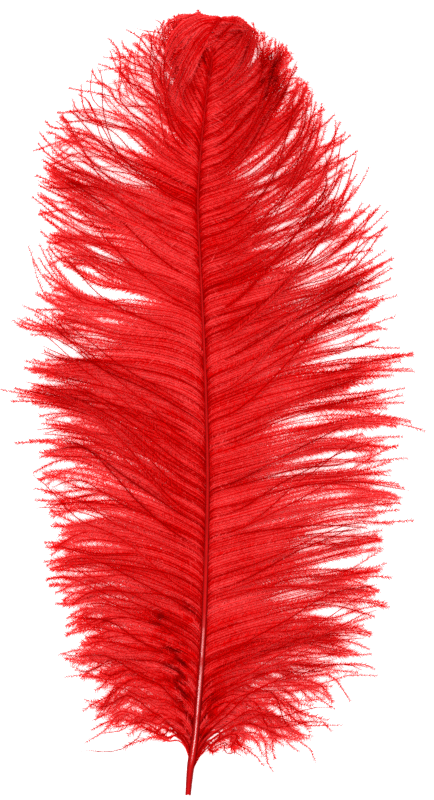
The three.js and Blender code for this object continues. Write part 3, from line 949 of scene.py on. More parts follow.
@dataclass
class BarbField:
    """The smooth family of curves that the barbs of one side follow.

    A station is a distance up the shaft from the cut end, and t is how far along a barb a place is, from
    0 at the shaft to 1 at the end of the guide.
    """

    shaft: Shaft
    side: Side
    root_drop: float = 2.2  # how much lower a barb leaves the shaft than its curve's own sweep would
    low_drop: float = 5.0  # and how much more at the plume's lower end
    drop_reach: float = 1.3  # how far out from the shaft that is made good
    low_reach: float = 1.4
    low_end: tuple[float, float] = (17, 42)  # the stations of that lower end
    root_out: float = 0.45  # how far from the shaft's middle a barb begins, as a share of the half width
    root_up: float = 0.25  # how far above it, as a share of the half height
    root_run: float = 0.3  # how far along the barb the shaft's own width stops counting
    margin: tuple[float, float] = (5, 3)  # how far the family goes on past its first and last guide
    cleft_edge: float = 0.25  # how far along a barb a cleft takes to open, and to close
    cleft_push: float = 0.85  # how far a cleft's sides are pushed, as a share of its half width
    cleft_lip: float = 0.7  # half width over which the push changes sides
    cleft_reach: float = 2.4  # how far the push is felt, in half widths
    most_worn: float = 0.85  # most of the web that can be gone
    wear_streaks: float = 0.5  # how much the wear varies from streak to streak
    wear_range: tuple[float, float] = (0.3, 1.6)  # least and most of it
    wear_apart: float = 40.0  # along the shaft, from the pockets' streaks to those of the wear
    # Painted shade of the pockets between the barbs, and how it varies from streak to streak:
    pocket_middle: float = 0.55  # how deep the pockets are on the whole
    pocket_streaks: float = 0.8  # how much that varies from streak to streak
    pocket_range: tuple[float, float] = (0.0, 1.5)
    streak_seed: int = 77
    streak_waves: int = 12
    streak_across: tuple[float, float] = (2.5, 9.0)  # shortest and longest wave of the streaks
    streak_along: float = 6.0  # most turns of a wave from the shaft to the barbs' ends
    streaks: Drift = field(init=False)

    def __post_init__(self) -> None:
        """Read the side's guides, clefts, pockets and worn spots."""
        left = self.side is Side.LEFT
        guides = LEFT_GUIDES if left else RIGHT_GUIDES
        self.stations = np.array([g[0] for g in guides], dtype=float)
        self.out = np.array([(0.0, *g[1]) for g in guides])
        self.up = np.array([(0.0, *g[2]) for g in guides])
        self.clefts = np.array(LEFT_CLEFTS if left else RIGHT_CLEFTS)
        self.painted_spots = np.array(LEFT_PAINTED_SHADE_AND_LIGHT if left else RIGHT_PAINTED_SHADE_AND_LIGHT)
        self.thin = np.array(LEFT_WORN if left else RIGHT_WORN)
        seed = self.streak_seed + self.side.value
        self.streaks = Drift(seed, self.streak_waves, self.streak_across, self.streak_along)

    def web(self, station: Array, t: Array) -> Array:
        """How much of the web of barbules is left.

        Args:
            station: Stations of the barbs.
            t: How far along the barbs.

        Returns:
            1 where the web is whole, less where it is worn.
        """
        # The wear comes in streaks along the barbs, other ones than those of the dark pockets.
        streaks = 1 + self.wear_streaks * self.streaks.read(station + self.wear_apart, t)
        streaks = np.clip(streaks, *self.wear_range)
        return 1 - np.clip(spots(self.thin, station, t) * streaks, 0, self.most_worn)

    def place(self, station: Array, t: Array) -> Array:
        """Points of the family.

        Args:
            station: Where up the shaft each barb begins.
            t: How far along the barb, from 0 at the shaft to 1 at its end.

        Returns:
            The points, in millimetres.
        """
        station = np.clip(station, self.stations[0] - self.margin[0], self.stations[-1] + self.margin[1])
        weights = four_point_weights(t)
        out = sum(weights[..., i] * np.interp(station, self.stations, self.out[:, i]) for i in range(4))
        up = sum(weights[..., i] * np.interp(station, self.stations, self.up[:, i]) for i in range(4))
        # Every barb leaves the shaft at a sharp angle: its root stands lower than the sweep of its curve.
        low = 1 - ease(*self.low_end, station)
        reach = self.drop_reach + self.low_reach * low
        drop = (self.root_drop + self.low_drop * low) * np.exp(-np.maximum(out, 0) / reach)
        core = self.shaft.read(station - drop)
        start = core[..., 3] * self.root_out * (1 - ease(0.0, self.root_run, t))
        edge = np.interp(station, *np.array(EDGE_HEIGHTS).T)
        root = core[..., 2] + self.root_up * core[..., 4]
        height = root + (edge - root) * ease(0, 1, t)
        x = core[..., 0] + self.side.value * (out + start)
        return np.stack([x, core[..., 1] + up, height], axis=-1)

    def part(self, station: Array, t: Array) -> Array:
        """Push stations apart where the barbs are parted by a cleft.

        Args:
            station: Stations of the barbs.
            t: How far along the barbs.

        Returns:
            The shifted stations.
        """
        shift = np.zeros(np.broadcast(station, t).shape)
        edge = self.cleft_edge
        for at, opens, closes, wide in self.clefts:
            away = station - at
            open_here = ease(opens, opens + edge, t) * (1 - ease(closes - edge, closes, t))
            push = self.cleft_push * wide * open_here
            felt = np.tanh(away / self.cleft_lip) * np.exp(-np.abs(away) / (self.cleft_reach * wide))
            shift = shift + push * felt
        return station + shift

    def painted_shade_and_light(self, station: Array, t: Array) -> Array:
        """Painted shade: how much deeper the colour is where one looks down between the barbs.

        Args:
            station: Stations of the barbs.
            t: How far along the barbs.

        Returns:
            How much to take off the tone, below 0 where painted light makes it paler instead.
        """
        streaks = self.pocket_middle + self.pocket_streaks * self.streaks.read(station, t)
        return spots(self.painted_spots, station, t) * np.clip(streaks, *self.pocket_range)


@dataclass
class Strands:
    """Barbs laid out as lines of points, before they get any thickness."""

    points: Array  # by barb and place along it, in millimetres
    t: Array  # how far along the barb each point is
    station: Array  # where up the shaft each barb begins
    tones: Array  # by barb and place, from -1 deepest to 1 palest
    web: Array  # by barb and place: how much of the web of barbules there is, from 0 to 1
    girth: Array  # how stout each barb is, for its place


@dataclass(frozen=True)
class Habit:
    """How freely the barbs lie.

    Sideways moves are millimetres along the shaft. Three amounts are the one low down, what is added
    higher up and what is added at the head. A span is from where to where along a barb something sets in.
    """

    root_jitter: float = 0.25  # of a barb's root, from its even place
    reach: float = 0.96  # a barb's length, as a share of its guide's
    reach_drift: float = 0.07  # how much the lengths of neighbours change together
    reach_size: float = 4.0  # distance over which they do
    reach_spread: tuple[float, float] = (-0.16, 0.07)  # how much they differ barb by barb
    long_share: float = 0.07  # share of the barbs that are extra long
    long_most: float = 0.11  # and how much longer, at most
    drift: tuple[float, float, float] = (2.4, 1.2, -1.6)  # of a whole layer
    drift_span: tuple[float, float] = (0.3, 0.95)
    drift_sooner: float = 0.14  # how much sooner it sets in higher up
    scatter: float = 1.1  # of single barbs
    scatter_span: tuple[float, float] = (0.35, 1.0)
    wave: tuple[float, float, float] = (0.6, 0.7, -0.6)  # half height of a barb's waves
    wave_turns: float = 1.7
    wave_span: tuple[float, float] = (0.4, 0.9)
    down_wave: float = 1.4  # half height of the waves in the down
    down_turns: float = 2.7
    down_phase: float = 1.7
    down_span: tuple[float, float] = (0.2, 0.6)
    hook: tuple[float, float, float] = (0.5, 1.0, -0.7)  # how much of a hook there is at a barb's end
    down_hook: float = 0.7  # and how much more in the down
    hook_mean: float = 0.5  # of a whole hook, before what the side adds or takes off
    hook_spread: float = 3.5
    hook_span: tuple[float, float] = (0.75, 1.05)
    tangled_share: float = 0.1  # how many more barbs go astray where they are tangled
    swing: float = 14.0  # how far up the shaft a stray swings
    tangled_swing: float = 10.0
    swing_spread: float = 15.0
    swing_most: float = 1.5  # the farthest swing, in spreads
    swing_calm: float = 0.7  # how much of it is gone at the head
    swing_span: tuple[float, float] = (0.15, 1.1)
    pull: tuple[float, float, float] = (0.4, 0.35, -0.35)  # how far an end goes to the middle of its lock
    pull_span: tuple[float, float] = (0.5, 1.0)
    pull_sooner: tuple[float, float] = (0.35, 0.2)  # how much sooner that sets in and is done higher up
    lock_turn: float = 1.3  # how far a lock's end leans up or down
    lock_calm: float = 0.6  # how much of that is gone at the head
    lock_span: tuple[float, float] = (0.4, 1.0)
    layer_gap: float = 0.75  # height between one layer and the next
    head_gap: float = 0.9  # and how much more at the head
    arch: float = 0.9  # how high a barb arches
    arch_spread: float = 0.5
    arch_size: float = 7.0  # distance over which that changes
    curl: tuple[float, float] = (0.3, 3.8)  # how high the ends curl up
    curl_span: tuple[float, float] = (0.7, 1.05)
    curl_sharpness: float = 1.5  # how late most of that rise comes
    over:tuple[float, float] = (1.2, 2.6)  # how high a stray lies over the others
    over_span: tuple[float, float] = (0.1, 0.4)
    unevenness: float = 0.15  # of the barbs' heights
    above_floor: float = 0.4  # least height of a barb above the lowest barbules
    layer_span: tuple[float, float] = (0.2, 0.5)  # of a layer's own height and tone
    root_layers: tuple[float, float] = (0.0, 0.08)  # where the layers begin to part at the shaft
    root_parting: float = 0.3  # share of their gap that they part by there
    stray_web: float = 0.35  # how much of the web a stray keeps


@dataclass(frozen=True)
class Shading:
    """The barbs' tones: how deep or pale each one is dyed, and painted shade where less light reaches it."""

    middle: float = 0.52
    spread: float = 0.13
    # Painted shade: lower layers of barbs are darker.
    layer: float = 0.1  # how much paler a layer is than the one below it
    drift: float = 0.12  # how much paler barbs are where they drift up the shaft
    drift_span: tuple[float, float] = (0.2, 0.6)
    stray: float = 0.4  # how much deeper a stray is
    root: float = 0.4  # how much deeper a barb is where it leaves the shaft
    root_reach: float = 0.018
    stout: float = 0.3  # how much deeper a stout barb is
    stout_share: float = 0.28
    stout_girth: float = 1.45  # how much thicker stout barbs and strays are


@dataclass(frozen=True)
class Barbules:
    """The fine needles along both sides of a barb."""

    gap: float = 0.42  # between one and the next, along the barb
    fewest: int = 4  # on each side of a barb
    jitter: tuple[float, float] = (0.1, 0.9)  # where in its own stretch of the barb each one stands
    width: tuple[float, float] = (0.56, 0.35)  # near the shaft and near the barb's end
    width_span: tuple[float, float] = (0.3, 0.9)  # from where to where along the barb that changes
    worn_width: float = 0.14  # share of the width that is left where the web is gone
    length: float = 2.9
    root_length: float = 0.6  # share of the length right at the shaft
    root_span: tuple[float, float] = (0.0, 0.12)
    short_ends: tuple[float, float] = (0.3, 0.1)  # how much shorter at the barb's end, and more higher up
    ends_from: tuple[float, float] = (0.85, 0.3)  # where along the barb that sets in, and how much sooner
    short_head: float = 0.2  # how much shorter at the head
    head_span: tuple[float, float] = (290, 340)  # the head's stations
    spread: tuple[float, float] = (0.65, 1.15)  # shortest and longest, as a share
    long_share: float = 0.22  # share of the barbules that are over-long
    long_size: float = 1.6
    worn_length: float = 0.7  # share of the length that is left where the web is gone
    lean: tuple[float, float] = (0.8, 0.17)  # turn away from the barb, and its spread, in radians
    rise: tuple[float, float] = (-0.2, 0.12)  # turn up from the barb's own plane, and its spread
    roll: float = 0.3  # spread of the turn about its own length
    sleek_ends: tuple[float, float] = (22, 29)  # the stations of the plume's sleek lower edge
    sleek_span: tuple[float, float] = (0.35, 0.6)  # where along the barbs that sleekness goes
    sleek_lean: float = 0.75  # how much less they lean there
    sleek_length: float = 0.5  # and how much shorter they are
    below: float = 0.16  # how far under the barb's middle they begin
    tone_spread: float = 0.13
    tones: tuple[float, float, float] = (-0.1, -0.1, 0.15)  # added at the two root corners and the point


@dataclass
class BarbTract:
    """One tract of barbs with their barbules, from one cleft to the next on one side of the shaft."""

    node: str
    side: Side
    first: float
    last: float
    spacing: float  # between barbs, along the shaft
    seed: int
    samples: int = 27  # places along each barb
    crowding: float = 1.35  # how much closer together those places are near the shaft
    barb_sides: int = 3
    thick: tuple[float, float] = (0.2, 0.16)  # barb radius at the shaft and at its end
    taper: float = 0.8  # how evenly it thins out
    point: float = 0.35  # its radius at the very end, as a share
    stray_share: float = 0.15  # share of the barbs that cross over the others
    lock_width: tuple[float, float] = (1.8, 5.0)  # of the locks in which the barbs' ends stick together
    lock_margin: float = 5.0  # how far below the tract the first lock may begin
    habit: Habit = Habit()
    shading: Shading = Shading()
    barbules: Barbules = Barbules()

    def build(self, fields: dict[Side, BarbField]) -> Patchwork:
        """Make every barb and barbule of the tract.

        Args:
            fields: The families of curves of both sides.

        Returns:
            The tract's triangles: finish 0 for barbs, 1 for barbules.
        """
        rng = np.random.default_rng(self.seed)
        strands = self._lay_barbs(fields[self.side], rng)
        work = Patchwork()
        self._add_barbs(work, strands)
        self._add_barbules(work, strands, rng)
        return work

    def _lay_barbs(self, family: BarbField, rng: np.random.Generator) -> Strands:
        """Lay the middle line of every barb.

        Args:
            family: The side's family of curves.
            rng: The tract's random numbers.

        Returns:
            The barbs' lines.
        """
        station, t = self._root_barbs(rng)
        s = np.broadcast_to(station[:, None], t.shape)
        layer, drift = self._layer_barbs(s, t, rng)
        wander = self._wander(s, t, drift, rng)
        stray, swing = self._send_astray(station, t, rng)
        stick = self._stick_ends(station, t, rng)
        shifted = family.part(s, t) + wander + np.where(stray, swing, stick)
        points = family.place(shifted, t)
        points[..., 2] += self._lift(station, t, layer, stray, rng)
        points[..., 2] = np.maximum(points[..., 2], FLOOR_CLEARANCE + self.habit.above_floor)
        tones, stout = self._shade(t, layer, drift, stray, rng)
        # Painted shade in the pockets between the barbs, and painted light in a few paler places.
        tones = tones - family.painted_shade_and_light(shifted, t)
        web = family.web(shifted, t) * np.where(stray, self.habit.stray_web, 1.0)
        girth = np.where(stout | stray, self.shading.stout_girth, 1.0)[:, 0]
        return Strands(points, t, station, tones, web, girth)

    def _root_barbs(self, rng: np.random.Generator) -> tuple[Array, Array]:
        """Set the barbs' roots along the shaft, and their lengths.

        Args:
            rng: The tract's random numbers.

        Returns:
            The station of each barb, and how far along its guide each of its points lies.
        """
        habit = self.habit
        count = int(round((self.last - self.first) / self.spacing))
        station = self.first + (np.arange(count) + 0.5) * (self.last - self.first) / count
        station = station + rng.uniform(-habit.root_jitter, habit.root_jitter, count)
        reach = habit.reach + habit.reach_drift * self._smooth_noise(station, habit.reach_size, rng)
        reach = reach + rng.uniform(*habit.reach_spread, count)
        longer = rng.random(count) < habit.long_share
        reach = reach + np.where(longer, rng.uniform(0.0, habit.long_most, count), 0.0)
        t = np.linspace(0, 1, self.samples)[None, :] ** self.crowding * reach[:, None]
        return station, t

    def _layer_barbs(self, s: Array, t: Array, rng: np.random.Generator) -> tuple[Array, Array]:
        """Put every barb in one of the layers, each of which drifts in a way of its own.

        Args:
            s: Stations of the barbs' points.
            t: How far along the barbs they are.
            rng: The tract's random numbers.

        Returns:
            Each barb's layer, counted from the lowest, and the drift of its points.
        """
        # Every second barb is of the top layer.
        layer = np.where(np.arange(len(s)) % 2 == 0, LAYERS - 1, rng.integers(0, LAYERS - 1, len(s)))
        seed = DRIFT_SEED + SIDE_SEED * self.side.value
        drifts = np.stack([Drift(seed + i).read(s, t) for i in range(LAYERS)])
        return layer[:, None], np.take_along_axis(drifts, layer[None, :, None], axis=0)[0]

    def _wander(self, s: Array, t: Array, drift: Array, rng: np.random.Generator) -> Array:
        """Let the barbs drift, wave and hook.

        Args:
            s: Stations of the barbs' points.
            t: How far along the barbs they are.
            drift: The drift of their layers.
            rng: The tract's random numbers.

        Returns:
            How far each point moves up the shaft.
        """
        habit, one_each = self.habit, (len(s), 1)
        upper, head, down = ease(*UPPER_STARTS, s), ease(*HEAD_STARTS, s), 1 - ease(*DOWN_ENDS, s)
        sets_in, done = habit.drift_span
        wander = drift * grow(habit.drift, upper, head) * ease(sets_in - habit.drift_sooner * upper, done, t)
        wander = wander + rng.normal(0, habit.scatter, one_each) * ease(*habit.scatter_span, t)
        phase = rng.uniform(0, 2 * np.pi, one_each)
        waves = np.sin(2 * np.pi * habit.wave_turns * t + phase) * ease(*habit.wave_span, t)
        wander = wander + grow(habit.wave, upper, head) * waves
        waves = np.sin(2 * np.pi * habit.down_turns * t + habit.down_phase * phase)
        wander = wander + habit.down_wave * down * waves * ease(*habit.down_span, t)
        hook = rng.normal(habit.hook_mean + self.side.value, habit.hook_spread, one_each)
        share = grow(habit.hook, upper, head) + habit.down_hook * down
        return wander + hook * share * ease(*habit.hook_span, t)

    def _send_astray(self, station: Array, t: Array, rng: np.random.Generator) -> tuple[Array, Array]:
        """Choose the barbs that cross over the others.

        Args:
            station: Where up the shaft each barb begins.
            t: How far along the barbs their points are.
            rng: The tract's random numbers.

        Returns:
            Which barbs are strays, and how far up the shaft each point would swing.
        """
        habit = self.habit
        low, high = TANGLES[self.side]
        tangle = ease(low - TANGLE_EDGE, low + TANGLE_EDGE, station)
        tangle = tangle * (1 - ease(high - TANGLE_EDGE, high + TANGLE_EDGE, station))
        stray = rng.random(len(station)) < self.stray_share + habit.tangled_share * tangle
        spread = np.clip(rng.normal(0, 1, (len(station), 1)), -habit.swing_most, habit.swing_most)
        swing = habit.swing + habit.tangled_swing * tangle[:, None] + habit.swing_spread * spread
        calm = 1 - habit.swing_calm * ease(*HEAD_STARTS, station)[:, None]
        return stray[:, None], swing * calm * ease(*habit.swing_span, t)

    def _stick_ends(self, station: Array, t: Array, rng: np.random.Generator) -> Array:
        """Draw the barbs' ends together in locks.

        Args:
            station: Where up the shaft each barb begins.
            t: How far along the barbs their points are.
            rng: The tract's random numbers.

        Returns:
            How far each point moves up the shaft.
        """
        habit = self.habit
        upper, head = ease(*UPPER_STARTS, station)[:, None], ease(*HEAD_STARTS, station)[:, None]
        middle, turn = self._locks(station, rng)
        sets_in = habit.pull_span[0] - habit.pull_sooner[0] * upper
        done = habit.pull_span[1] - habit.pull_sooner[1] * upper
        pull = grow(habit.pull, upper, head) * ease(sets_in, done, t)
        lean = turn[:, None] * (1 - habit.lock_calm * head) * ease(*habit.lock_span, t)
        return (middle - station)[:, None] * pull + lean

    def _lift(
        self, station: Array, t: Array, layer: Array, stray: Array, rng: np.random.Generator
    ) -> Array:
        """Raise the barbs to their layers, arch them and curl up their ends.

        Args:
            station: Where up the shaft each barb begins.
            t: How far along the barbs their points are.
            layer: The barbs' layers.
            stray: Which barbs are strays.
            rng: The tract's random numbers.

        Returns:
            How far each point rises.
        """
        habit, one_each = self.habit, (len(station), 1)
        gap = habit.layer_gap + habit.head_gap * ease(*HEAD_STARTS, station)[:, None]
        parting = habit.root_parting * ease(*habit.root_layers, t)
        parting = parting + (1 - habit.root_parting) * ease(*habit.layer_span, t)
        sunk = (layer - 1) * gap * parting
        arch = habit.arch + habit.arch_spread * self._smooth_noise(station, habit.arch_size, rng)[:, None]
        arch = arch * np.sin(np.pi * np.clip(t, 0, 1))
        curl = rng.uniform(*habit.curl, one_each) * ease(*habit.curl_span, t) ** habit.curl_sharpness
        over = np.where(stray, rng.uniform(*habit.over, one_each) * ease(*habit.over_span, t), 0.0)
        return sunk + arch + curl + over + rng.normal(0, habit.unevenness, one_each)

    def _shade(
        self, t: Array, layer: Array, drift: Array, stray: Array, rng: np.random.Generator
    ) -> tuple[Array, Array]:
        """Give every barb its tone, with painted shade on the lower layers.

        Args:
            t: How far along the barbs their points are.
            layer: The barbs' layers.
            drift: The drift of the points.
            stray: Which barbs are strays.
            rng: The tract's random numbers.

        Returns:
            The points' tones, and which barbs are stout.
        """
        shading, one_each = self.shading, (len(t), 1)
        tones = shading.middle + rng.normal(0, shading.spread, one_each)
        # Painted shade: the lower layers get deeper tones.
        tones = tones + shading.layer * (layer - 1) * ease(*self.habit.layer_span, t)
        tones = tones + shading.drift * drift * ease(*shading.drift_span, t)
        tones = tones - np.where(stray, shading.stray, 0.0) - shading.root * np.exp(-t / shading.root_reach)
        stout = rng.random(one_each) < shading.stout_share
        return tones - np.where(stout, shading.stout, 0.0), stout

    def _locks(self, station: Array, rng: np.random.Generator) -> tuple[Array, Array]:
        """Part the barbs into locks whose ends stick together.

        Args:
            station: Where up the shaft each barb begins.
            rng: The tract's random numbers.

        Returns:
            The station of the middle of each barb's lock, and how far its lock leans up the shaft.
        """
        most = (self.last - self.first + 4 * self.lock_margin) / self.lock_width[0]
        widths = rng.uniform(*self.lock_width, int(most))
        edges = self.first - self.lock_margin + np.cumsum(widths)
        lock = np.searchsorted(edges, station)
        middles = np.concatenate([edges[:1] - widths[0] / 2, (edges[1:] + edges[:-1]) / 2])
        return middles[lock], rng.normal(0, self.habit.lock_turn, len(middles))[lock]

    @staticmethod
    def _smooth_noise(station: Array, size: float, rng: np.random.Generator) -> Array:
        """Random numbers that change smoothly along the shaft.

        Args:
            station: Where to read them.
            size: Distance over which they change.
            rng: Random numbers.

        Returns:
            Values around 0, mostly within -1 and 1.
        """
        knots = np.arange(station.min() - size, station.max() + 2 * size, size)
        return np.interp(station, knots, rng.normal(0, SMOOTH_SPREAD, len(knots)))

    def _add_barbs(self, work: Patchwork, strands: Strands) -> None:
        """Add the barbs as thin tapering tubes.

        Args:
            work: The triangles so far.
            strands: The barbs' lines.
        """
        lines = strands.points
        count, samples, _ = lines.shape
        along = unit(np.gradient(lines, axis=1))
        across = unit(np.cross(along, UP))
        over = np.cross(across, along)
        radius = self.thick[0] + (self.thick[1] - self.thick[0]) * strands.t**self.taper
        radius = radius * strands.girth[:, None]
        radius[:, -1] *= self.point
        rings = []
        for k in range(self.barb_sides):
            angle = 2 * np.pi * k / self.barb_sides + np.pi / 2
            rings.append(lines + radius[..., None] * (across * math.cos(angle) + over * math.sin(angle)))
        points = np.stack(rings, axis=2)
        b, i, k = np.indices((count, samples - 1, self.barb_sides))
        nxt = (k + 1) % self.barb_sides
        row = (b * samples + i) * self.barb_sides
        a0, a1 = row + k, row + nxt
        b0, b1 = a0 + self.barb_sides, a1 + self.barb_sides
        faces = np.stack([a0, b0, b1, a0, b1, a1], axis=-1)
        shade = np.broadcast_to(strands.tones[:, :, None], points.shape[:3])
        work.add(points, faces, 0, np.clip(shade, -1, 1))

    def _barbule_length(self, station: Array, t: Array) -> Array:
        """How long the barbules are: long and downy low down, short on the barb ends higher up.

        Args:
            station: Where up the shaft their barb begins.
            t: How far along the barb they stand.

        Returns:
            Their lengths.
        """
        needles = self.barbules
        upper = ease(*UPPER_STARTS, station)
        root = needles.root_length + (1 - needles.root_length) * ease(*needles.root_span, t)
        sets_in = needles.ends_from[0] - needles.ends_from[1] * upper
        ends = 1 - (needles.short_ends[0] + needles.short_ends[1] * upper) * ease(sets_in, 1.0, t)
        return needles.length * root * ends * (1 - needles.short_head * ease(*needles.head_span, station))

    def _add_barbules(self, work: Patchwork, strands: Strands, rng: np.random.Generator) -> None:
        """Add the barbules as fine needles on both sides of every barb.

        Args:
            work: The triangles so far.
            strands: The barbs' lines.
            rng: Random numbers.
        """
        lines, t, needles = strands.points, strands.t, self.barbules
        which, hand, place = self._space_barbules(lines, rng)
        one_each = (len(which), 1)
        i = np.minimum(place.astype(int), self.samples - 2)
        f = place - i
        root = lines[which, i] * (1 - f)[:, None] + lines[which, i + 1] * f[:, None]
        along = unit(lines[which, i + 1] - lines[which, i])
        where = t[which, i] + (t[which, i + 1] - t[which, i]) * f
        station, web = strands.station[which], strands.web[which, i]
        size = self._barbule_length(station, where) * rng.uniform(*needles.spread, len(which))
        size = size * (needles.worn_length + (1 - needles.worn_length) * web)
        size = size * np.where(rng.random(len(which)) < needles.long_share, needles.long_size, 1.0)
        outward = unit(np.cross(along, UP))
        normal = np.cross(outward, along)
        # At the plume's lower edge they are short and lie along their barbs.
        sleek = (1 - ease(*needles.sleek_ends, station)) * (1 - ease(*needles.sleek_span, where))
        size = size * (1 - needles.sleek_length * sleek)
        lean = rng.normal(*needles.lean, one_each) * (1 - needles.sleek_lean * sleek[:, None])
        out = along * np.cos(lean) + outward * hand[:, None] * np.sin(lean)
        out = unit(out + normal * np.tan(rng.normal(*needles.rise, one_each)))
        roll = rng.normal(0, needles.roll, one_each)
        flat = unit(np.cross(out, normal))
        width = flat * np.cos(roll) + np.cross(out, flat) * np.sin(roll)
        wide = needles.width[0] + (needles.width[1] - needles.width[0]) * ease(*needles.width_span, where)
        wide = wide * (needles.worn_width + (1 - needles.worn_width) * web)
        half = width * (0.5 * wide)[:, None]
        root = root - normal * needles.below
        points = np.stack([root - half, root + half, root + out * size[:, None]], axis=1)
        floor = FLOOR_CLEARANCE + FLOOR_PILE * rng.random(points.shape[:2])
        points[..., 2] = np.maximum(points[..., 2], floor)
        faces = 3 * np.arange(len(which))[:, None] + np.array([0, 1, 2])
        own = strands.tones[which, i] + rng.normal(0, needles.tone_spread, len(which))
        work.add(points, faces, 1, np.clip(own[:, None] + np.array(needles.tones), -1, 1))

    def _space_barbules(self, lines: Array, rng: np.random.Generator) -> tuple[Array, Array, Array]:
        """Set the barbules' roots along the barbs, to one side and the other in turn.

        Args:
            lines: The barbs' points.
            rng: Random numbers.

        Returns:
            For each barbule its barb, its side as 1 or -1, and how many of the barb's points it is along.
        """
        length = np.linalg.norm(np.diff(lines, axis=1), axis=2).sum(axis=1)
        per_side = np.maximum((length / self.barbules.gap).astype(int), self.barbules.fewest)
        which = np.repeat(np.arange(len(lines)), 2 * per_side)
        order = np.arange(len(which)) - np.repeat(np.cumsum(2 * per_side) - 2 * per_side, 2 * per_side)
        share = (order // 2 + rng.uniform(*self.barbules.jitter, len(order))) / per_side[which]
        place = share ** (1 / self.crowding) * (self.samples - 1)
        return which, np.where(order % 2 == 0, 1.0, -1.0), place

    def dress(self, work: Patchwork, materials: list[bpy.types.Material]) -> bpy.types.Object:
        """Make the tract's object and tie it to the frame.

        Args:
            work: The tract's triangles.
            materials: The finishes of barbs and barbules.

        Returns:
            The tract's object.
        """
        made = work.to_object(f"{self.node}_fibres", materials, smooth=False)
        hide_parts(self.node)
        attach(made, "root")
        return made


@dataclass
class CurlTract(BarbTract):
    """The barbs of the curled tip, which hang over the head of the plume."""

    guides: tuple[tuple[tuple[float, float, float], ...], ...] = LEFT_CURL
    jitter: float = 0.03  # of a barb's place in the row of guides, as a share of the row
    reach: tuple[float, float] = (0.55, 1.08)  # shortest and longest barb, as a share of the guides
    lean: float = 0.08  # how far a barb leans to other guides, alone and with its neighbours
    lean_size: float = 2.0  # distance over which neighbours lean together
    root_span: tuple[float, float] = (0.0, 0.35)  # where along a barb its own root stops counting
    wave: float = 0.45  # half height of a barb's waves
    wave_turn: float = 6.0  # in radians, from the shaft to a barb's end
    wave_span: tuple[float, float] = (0.1, 0.7)
    gap: float = 1.1  # height between one layer and the next
    gap_span: tuple[float, float] = (0.0, 0.4)
    tone: float = 0.25
    tone_spread: float = 0.3
    # Painted shade: the curl's lower layers are darker.
    tone_step: float = 0.35  # how much paler a layer is than the one below it
    barbule_length: float = 1.3
    short_ends: float = 0.5  # how much shorter the barbules are at a barb's end
    ends_span: tuple[float, float] = (0.5, 1.0)

    def _lay_barbs(self, family: BarbField, rng: np.random.Generator) -> Strands:
        """Lay the middle line of every barb of the curl.

        Args:
            family: The side's family of curves, of which only the shaft is used.
            rng: The tract's random numbers.

        Returns:
            The barbs' lines.
        """
        guides = np.array(self.guides)
        count = int(round((self.last - self.first) / self.spacing))
        one_each = (count, 1)
        place = np.linspace(0, 1, count) + rng.normal(0, self.jitter, count)
        station = self.first + np.clip(place, 0, 1) * (self.last - self.first)
        t = np.linspace(0, 1, self.samples)[None, :] * rng.uniform(*self.reach, one_each)
        lean = self.lean * self._smooth_noise(station, self.lean_size, rng)[:, None]
        lean = lean + rng.normal(0, self.lean, one_each)
        rows = np.clip(place[:, None] + lean * t, 0, 1) * (len(guides) - 1)
        numbers = np.arange(len(guides))
        weights = four_point_weights(t)
        points = np.zeros((*t.shape, 3))
        for i in range(4):
            for axis in range(3):
                points[..., axis] += weights[..., i] * np.interp(rows, numbers, guides[:, i, axis])
        root = family.shaft.read(station)[:, None, :3]
        points += (root - points[:, :1]) * (1 - ease(*self.root_span, t))[..., None]
        phase = rng.uniform(0, 2 * np.pi, (count, 3))
        waves = np.sin(self.wave_turn * t[..., None] + phase[:, None])
        points += self.wave * waves * ease(*self.wave_span, t)[..., None]
        layer = rng.integers(0, LAYERS, count)[:, None]
        points[..., 2] += (layer - (LAYERS - 1)) * self.gap * ease(*self.gap_span, t)
        # Painted shade: lower layers of the curl get deeper tones.
        tones = self.tone + rng.normal(0, self.tone_spread, one_each) + self.tone_step * (layer - 1)
        tones = np.broadcast_to(tones, t.shape)
        return Strands(points, t, station, tones, np.ones(t.shape), np.ones(count))

    def _barbule_length(self, station: Array, t: Array) -> Array:
        """Barbules of the curl: short, and shorter towards the ends.

        Args:
            station: Where up the shaft their barb begins; not used here.
            t: How far along the barb they stand.

        Returns:
            Their lengths.
        """
        return self.barbule_length * (1 - self.short_ends * ease(*self.ends_span, t))


# ---------------------------------------------------------------- stage


@dataclass(frozen=True)
class Lamp:
    """A soft lamp that points at the feather's middle."""

    name: str
    at: tuple[float, float, float]
    size: tuple[float, float]  # its width and length
    power: float  # in watts

    def hang(self) -> None:
        """Put the lamp in the scene."""
        data = bpy.data.lights.new(self.name, "AREA")
        data.shape = "RECTANGLE"
        data.size = self.size[0] * MM
        data.size_y = self.size[1] * MM
        data.energy = self.power
        lamp = bpy.data.objects.new(self.name, data)
        lamp.location = Vector(self.at) * MM
        lamp.rotation_euler = (-Vector(self.at)).to_track_quat("-Z", "Y").to_euler()
        bpy.context.scene.collection.objects.link(lamp)


